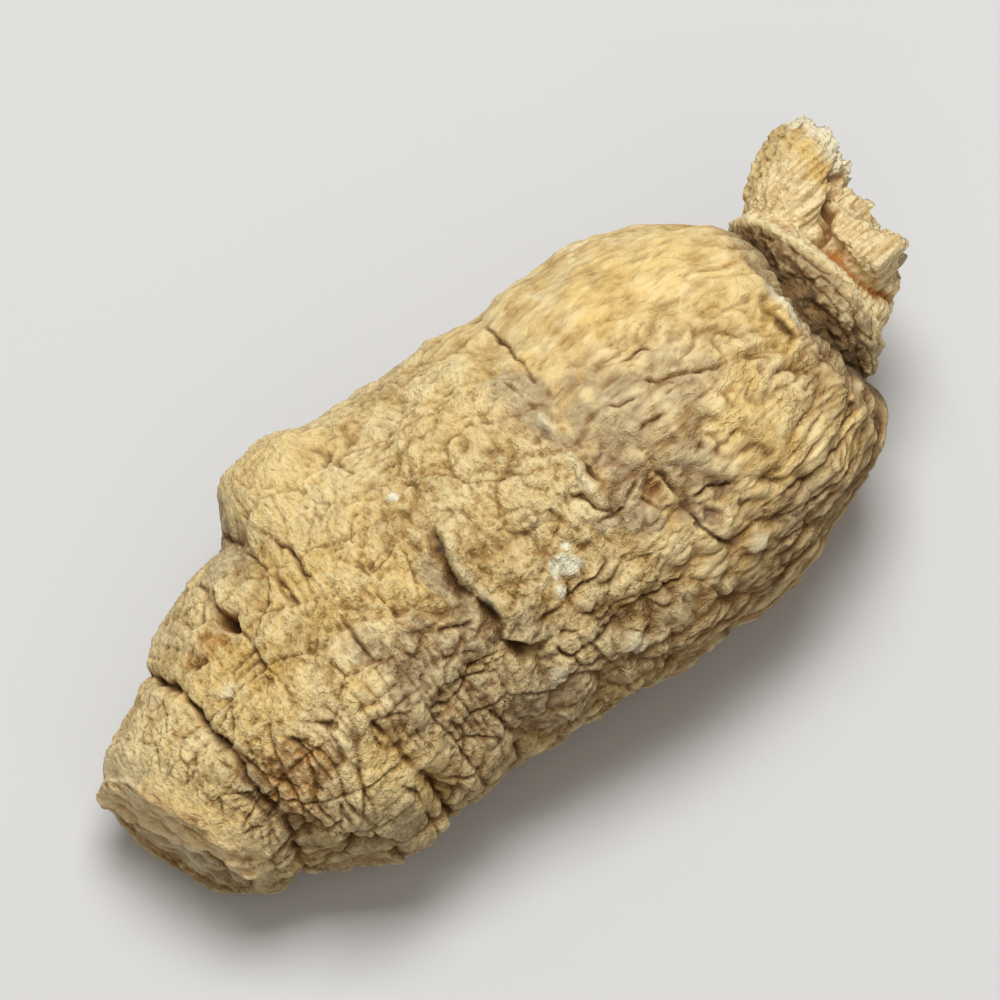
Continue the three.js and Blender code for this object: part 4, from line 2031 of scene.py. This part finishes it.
    def _colour(self, tree: Tree, sources: dict[str, Socket]) -> Socket:
        """Lays the coats over each other, from the widest patches to the finest lines.

        Args:
            tree: the material's node tree.
            sources: the patterns and masks.

        Returns:
            The colour's socket.
        """
        colour = linear(self.ground.value)
        for coat in self.coats:
            links = {"Value": sources[coat.source], "From Min": coat.low, "From Max": coat.high}
            links |= {"To Max": coat.strength}
            cover = add_node(tree, "ShaderNodeMapRange", links=links).outputs[0]
            if coat.within:
                links = {0: cover, 1: sources[coat.within]}
                cover = add_node(tree, "ShaderNodeMath", {"operation": "MULTIPLY"}, links).outputs[0]
            links = {MIX_FACTOR: cover} | dict(zip(MIX_COLOURS, (colour, linear(coat.hue.value))))
            mix = add_node(tree, "ShaderNodeMix", {"data_type": "RGBA"}, links)
            colour = mix.outputs[MIX_COLOUR_OUT]
        return colour

    def _bumps(self, tree: Tree, sources: dict[str, Socket]) -> Socket:
        """Adds the finest relief.

        Args:
            tree: the material's node tree.
            sources: the patterns and masks.

        Returns:
            The normal's socket.
        """
        normal = None
        for name, depth in self.bumps:
            links = {"Height": sources[name], "Distance": abs(depth) * MM}
            links |= {"Normal": normal} if normal else {}
            normal = add_node(tree, "ShaderNodeBump", {"invert": depth < 0}, links).outputs[0]
        return normal


# --- Stage ---


@dataclass(frozen=True)
class Lamp:
    """A square soft light that faces the root.

    Attributes:
        name: its name.
        place: where it stands, in metres.
        size: length of its side, in metres.
        power: its power in watts.
        colour: its colour, as linear red, green and blue.
    """

    name: str
    place: Triple
    size: float
    power: float
    colour: Triple

    def build(self, aim: Vector) -> None:
        """Adds the light.

        Args:
            aim: what it faces, in metres.
        """
        light = bpy.data.lights.new(self.name, "AREA")
        light.color = self.colour
        light.size = self.size
        light.energy = self.power
        holder = bpy.data.objects.new(self.name, light)
        bpy.context.scene.collection.objects.link(holder)
        holder.location = self.place
        holder.rotation_euler = (aim - Vector(self.place)).to_track_quat("-Z", "Y").to_euler()


@dataclass(frozen=True)
class Studio:
    """The floor, the lights and the camera.

    Attributes:
        elevation: how far the camera looks down, in degrees.
        azimuth: how far it stands round the root, in degrees.
        distance: how far off it is, in metres.
        lens: its focal length in millimetres.
        nearest: how near it still sees, in metres.
        aim: what it looks at, in millimetres.
        floor_size: length of the floor's side, in metres.
        floor_colour: the floor's linear red, green, blue and alpha.
        floor_roughness: how matt the floor is.
        lamps: the lights.
        sky_colour: colour of the light from all round.
        sky_strength: its strength.
    """

    elevation: float = 68.0
    azimuth: float = -41.64
    distance: float = 0.40
    lens: float = 237.6
    nearest: float = 0.01
    aim: Triple = (0.1, 2.1, 12.0)
    floor_size: float = 3.0
    floor_colour: tuple[float, float, float, float] = (0.60, 0.614, 0.645, 1.0)
    floor_roughness: float = 0.7
    lamps: tuple[Lamp, ...] = (
        Lamp("key", (0.06, 0.08, 0.45), 0.20, 1.92, (1.0, 0.98, 0.94)),
        Lamp("fill", (-0.15, -0.25, 0.45), 0.5, 0.53, (1.0, 0.91, 0.76)),
    )
    sky_colour: tuple[float, float, float, float] = (1.0, 0.94, 0.84, 1.0)
    sky_strength: float = 0.24

    def build(self) -> None:
        """Adds the floor, the lights and the camera."""
        self._floor()
        for lamp in self.lamps:
            lamp.build(Vector(self.aim) * MM)
        world = bpy.data.worlds.new("studio")
        world.use_nodes = True
        sky = world.node_tree.nodes["Background"]
        sky.inputs["Color"].default_value = self.sky_colour
        sky.inputs["Strength"].default_value = self.sky_strength
        bpy.context.scene.world = world
        bpy.context.scene.view_settings.view_transform = "Standard"
        self._camera()

    def _floor(self) -> None:
        """Lays the pale floor at height 0."""
        bpy.ops.object.select_all(action="DESELECT")
        bpy.ops.mesh.primitive_plane_add(size=self.floor_size, location=(0, 0, 0))
        floor = bpy.context.object
        floor.name = "floor"
        material = bpy.data.materials.new("pale_floor")
        material.use_nodes = True
        shader = material.node_tree.nodes["Principled BSDF"]
        shader.inputs["Base Color"].default_value = self.floor_colour
        shader.inputs["Roughness"].default_value = self.floor_roughness
        floor.data.materials.append(material)

    def _camera(self) -> None:
        """Places the camera, level, looking down at the root."""
        rise, turn = math.radians(self.elevation), math.radians(self.azimuth)
        level = math.cos(rise)
        away = Vector((math.sin(turn) * level, -math.cos(turn) * level, math.sin(rise)))
        camera = bpy.data.objects.new("camera", bpy.data.cameras.new("camera"))
        bpy.context.scene.collection.objects.link(camera)
        camera.location = Vector(self.aim) * MM + away * self.distance
        camera.rotation_euler = (-away).to_track_quat("-Z", "Y").to_euler()
        camera.data.lens = self.lens
        camera.data.clip_start = self.nearest
        bpy.context.scene.camera = camera


def main() -> None:
    """Builds the scene and reports each piece."""
    logging.basicConfig(level=logging.INFO, format="%(name)s: %(message)s")
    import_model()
    bark = DriedRootSkin().make()
    for piece in (MainRoot().build(), NeckStump().build()):
        piece.data.materials.clear()
        piece.data.materials.append(bark)
        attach(piece, ROOT_BODY)
        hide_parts(ROOT_NODE)
        LOG.info("%s: %d faces", piece.name, len(piece.data.polygons))
    Studio().build()


if __name__ == "__main__":
    main()
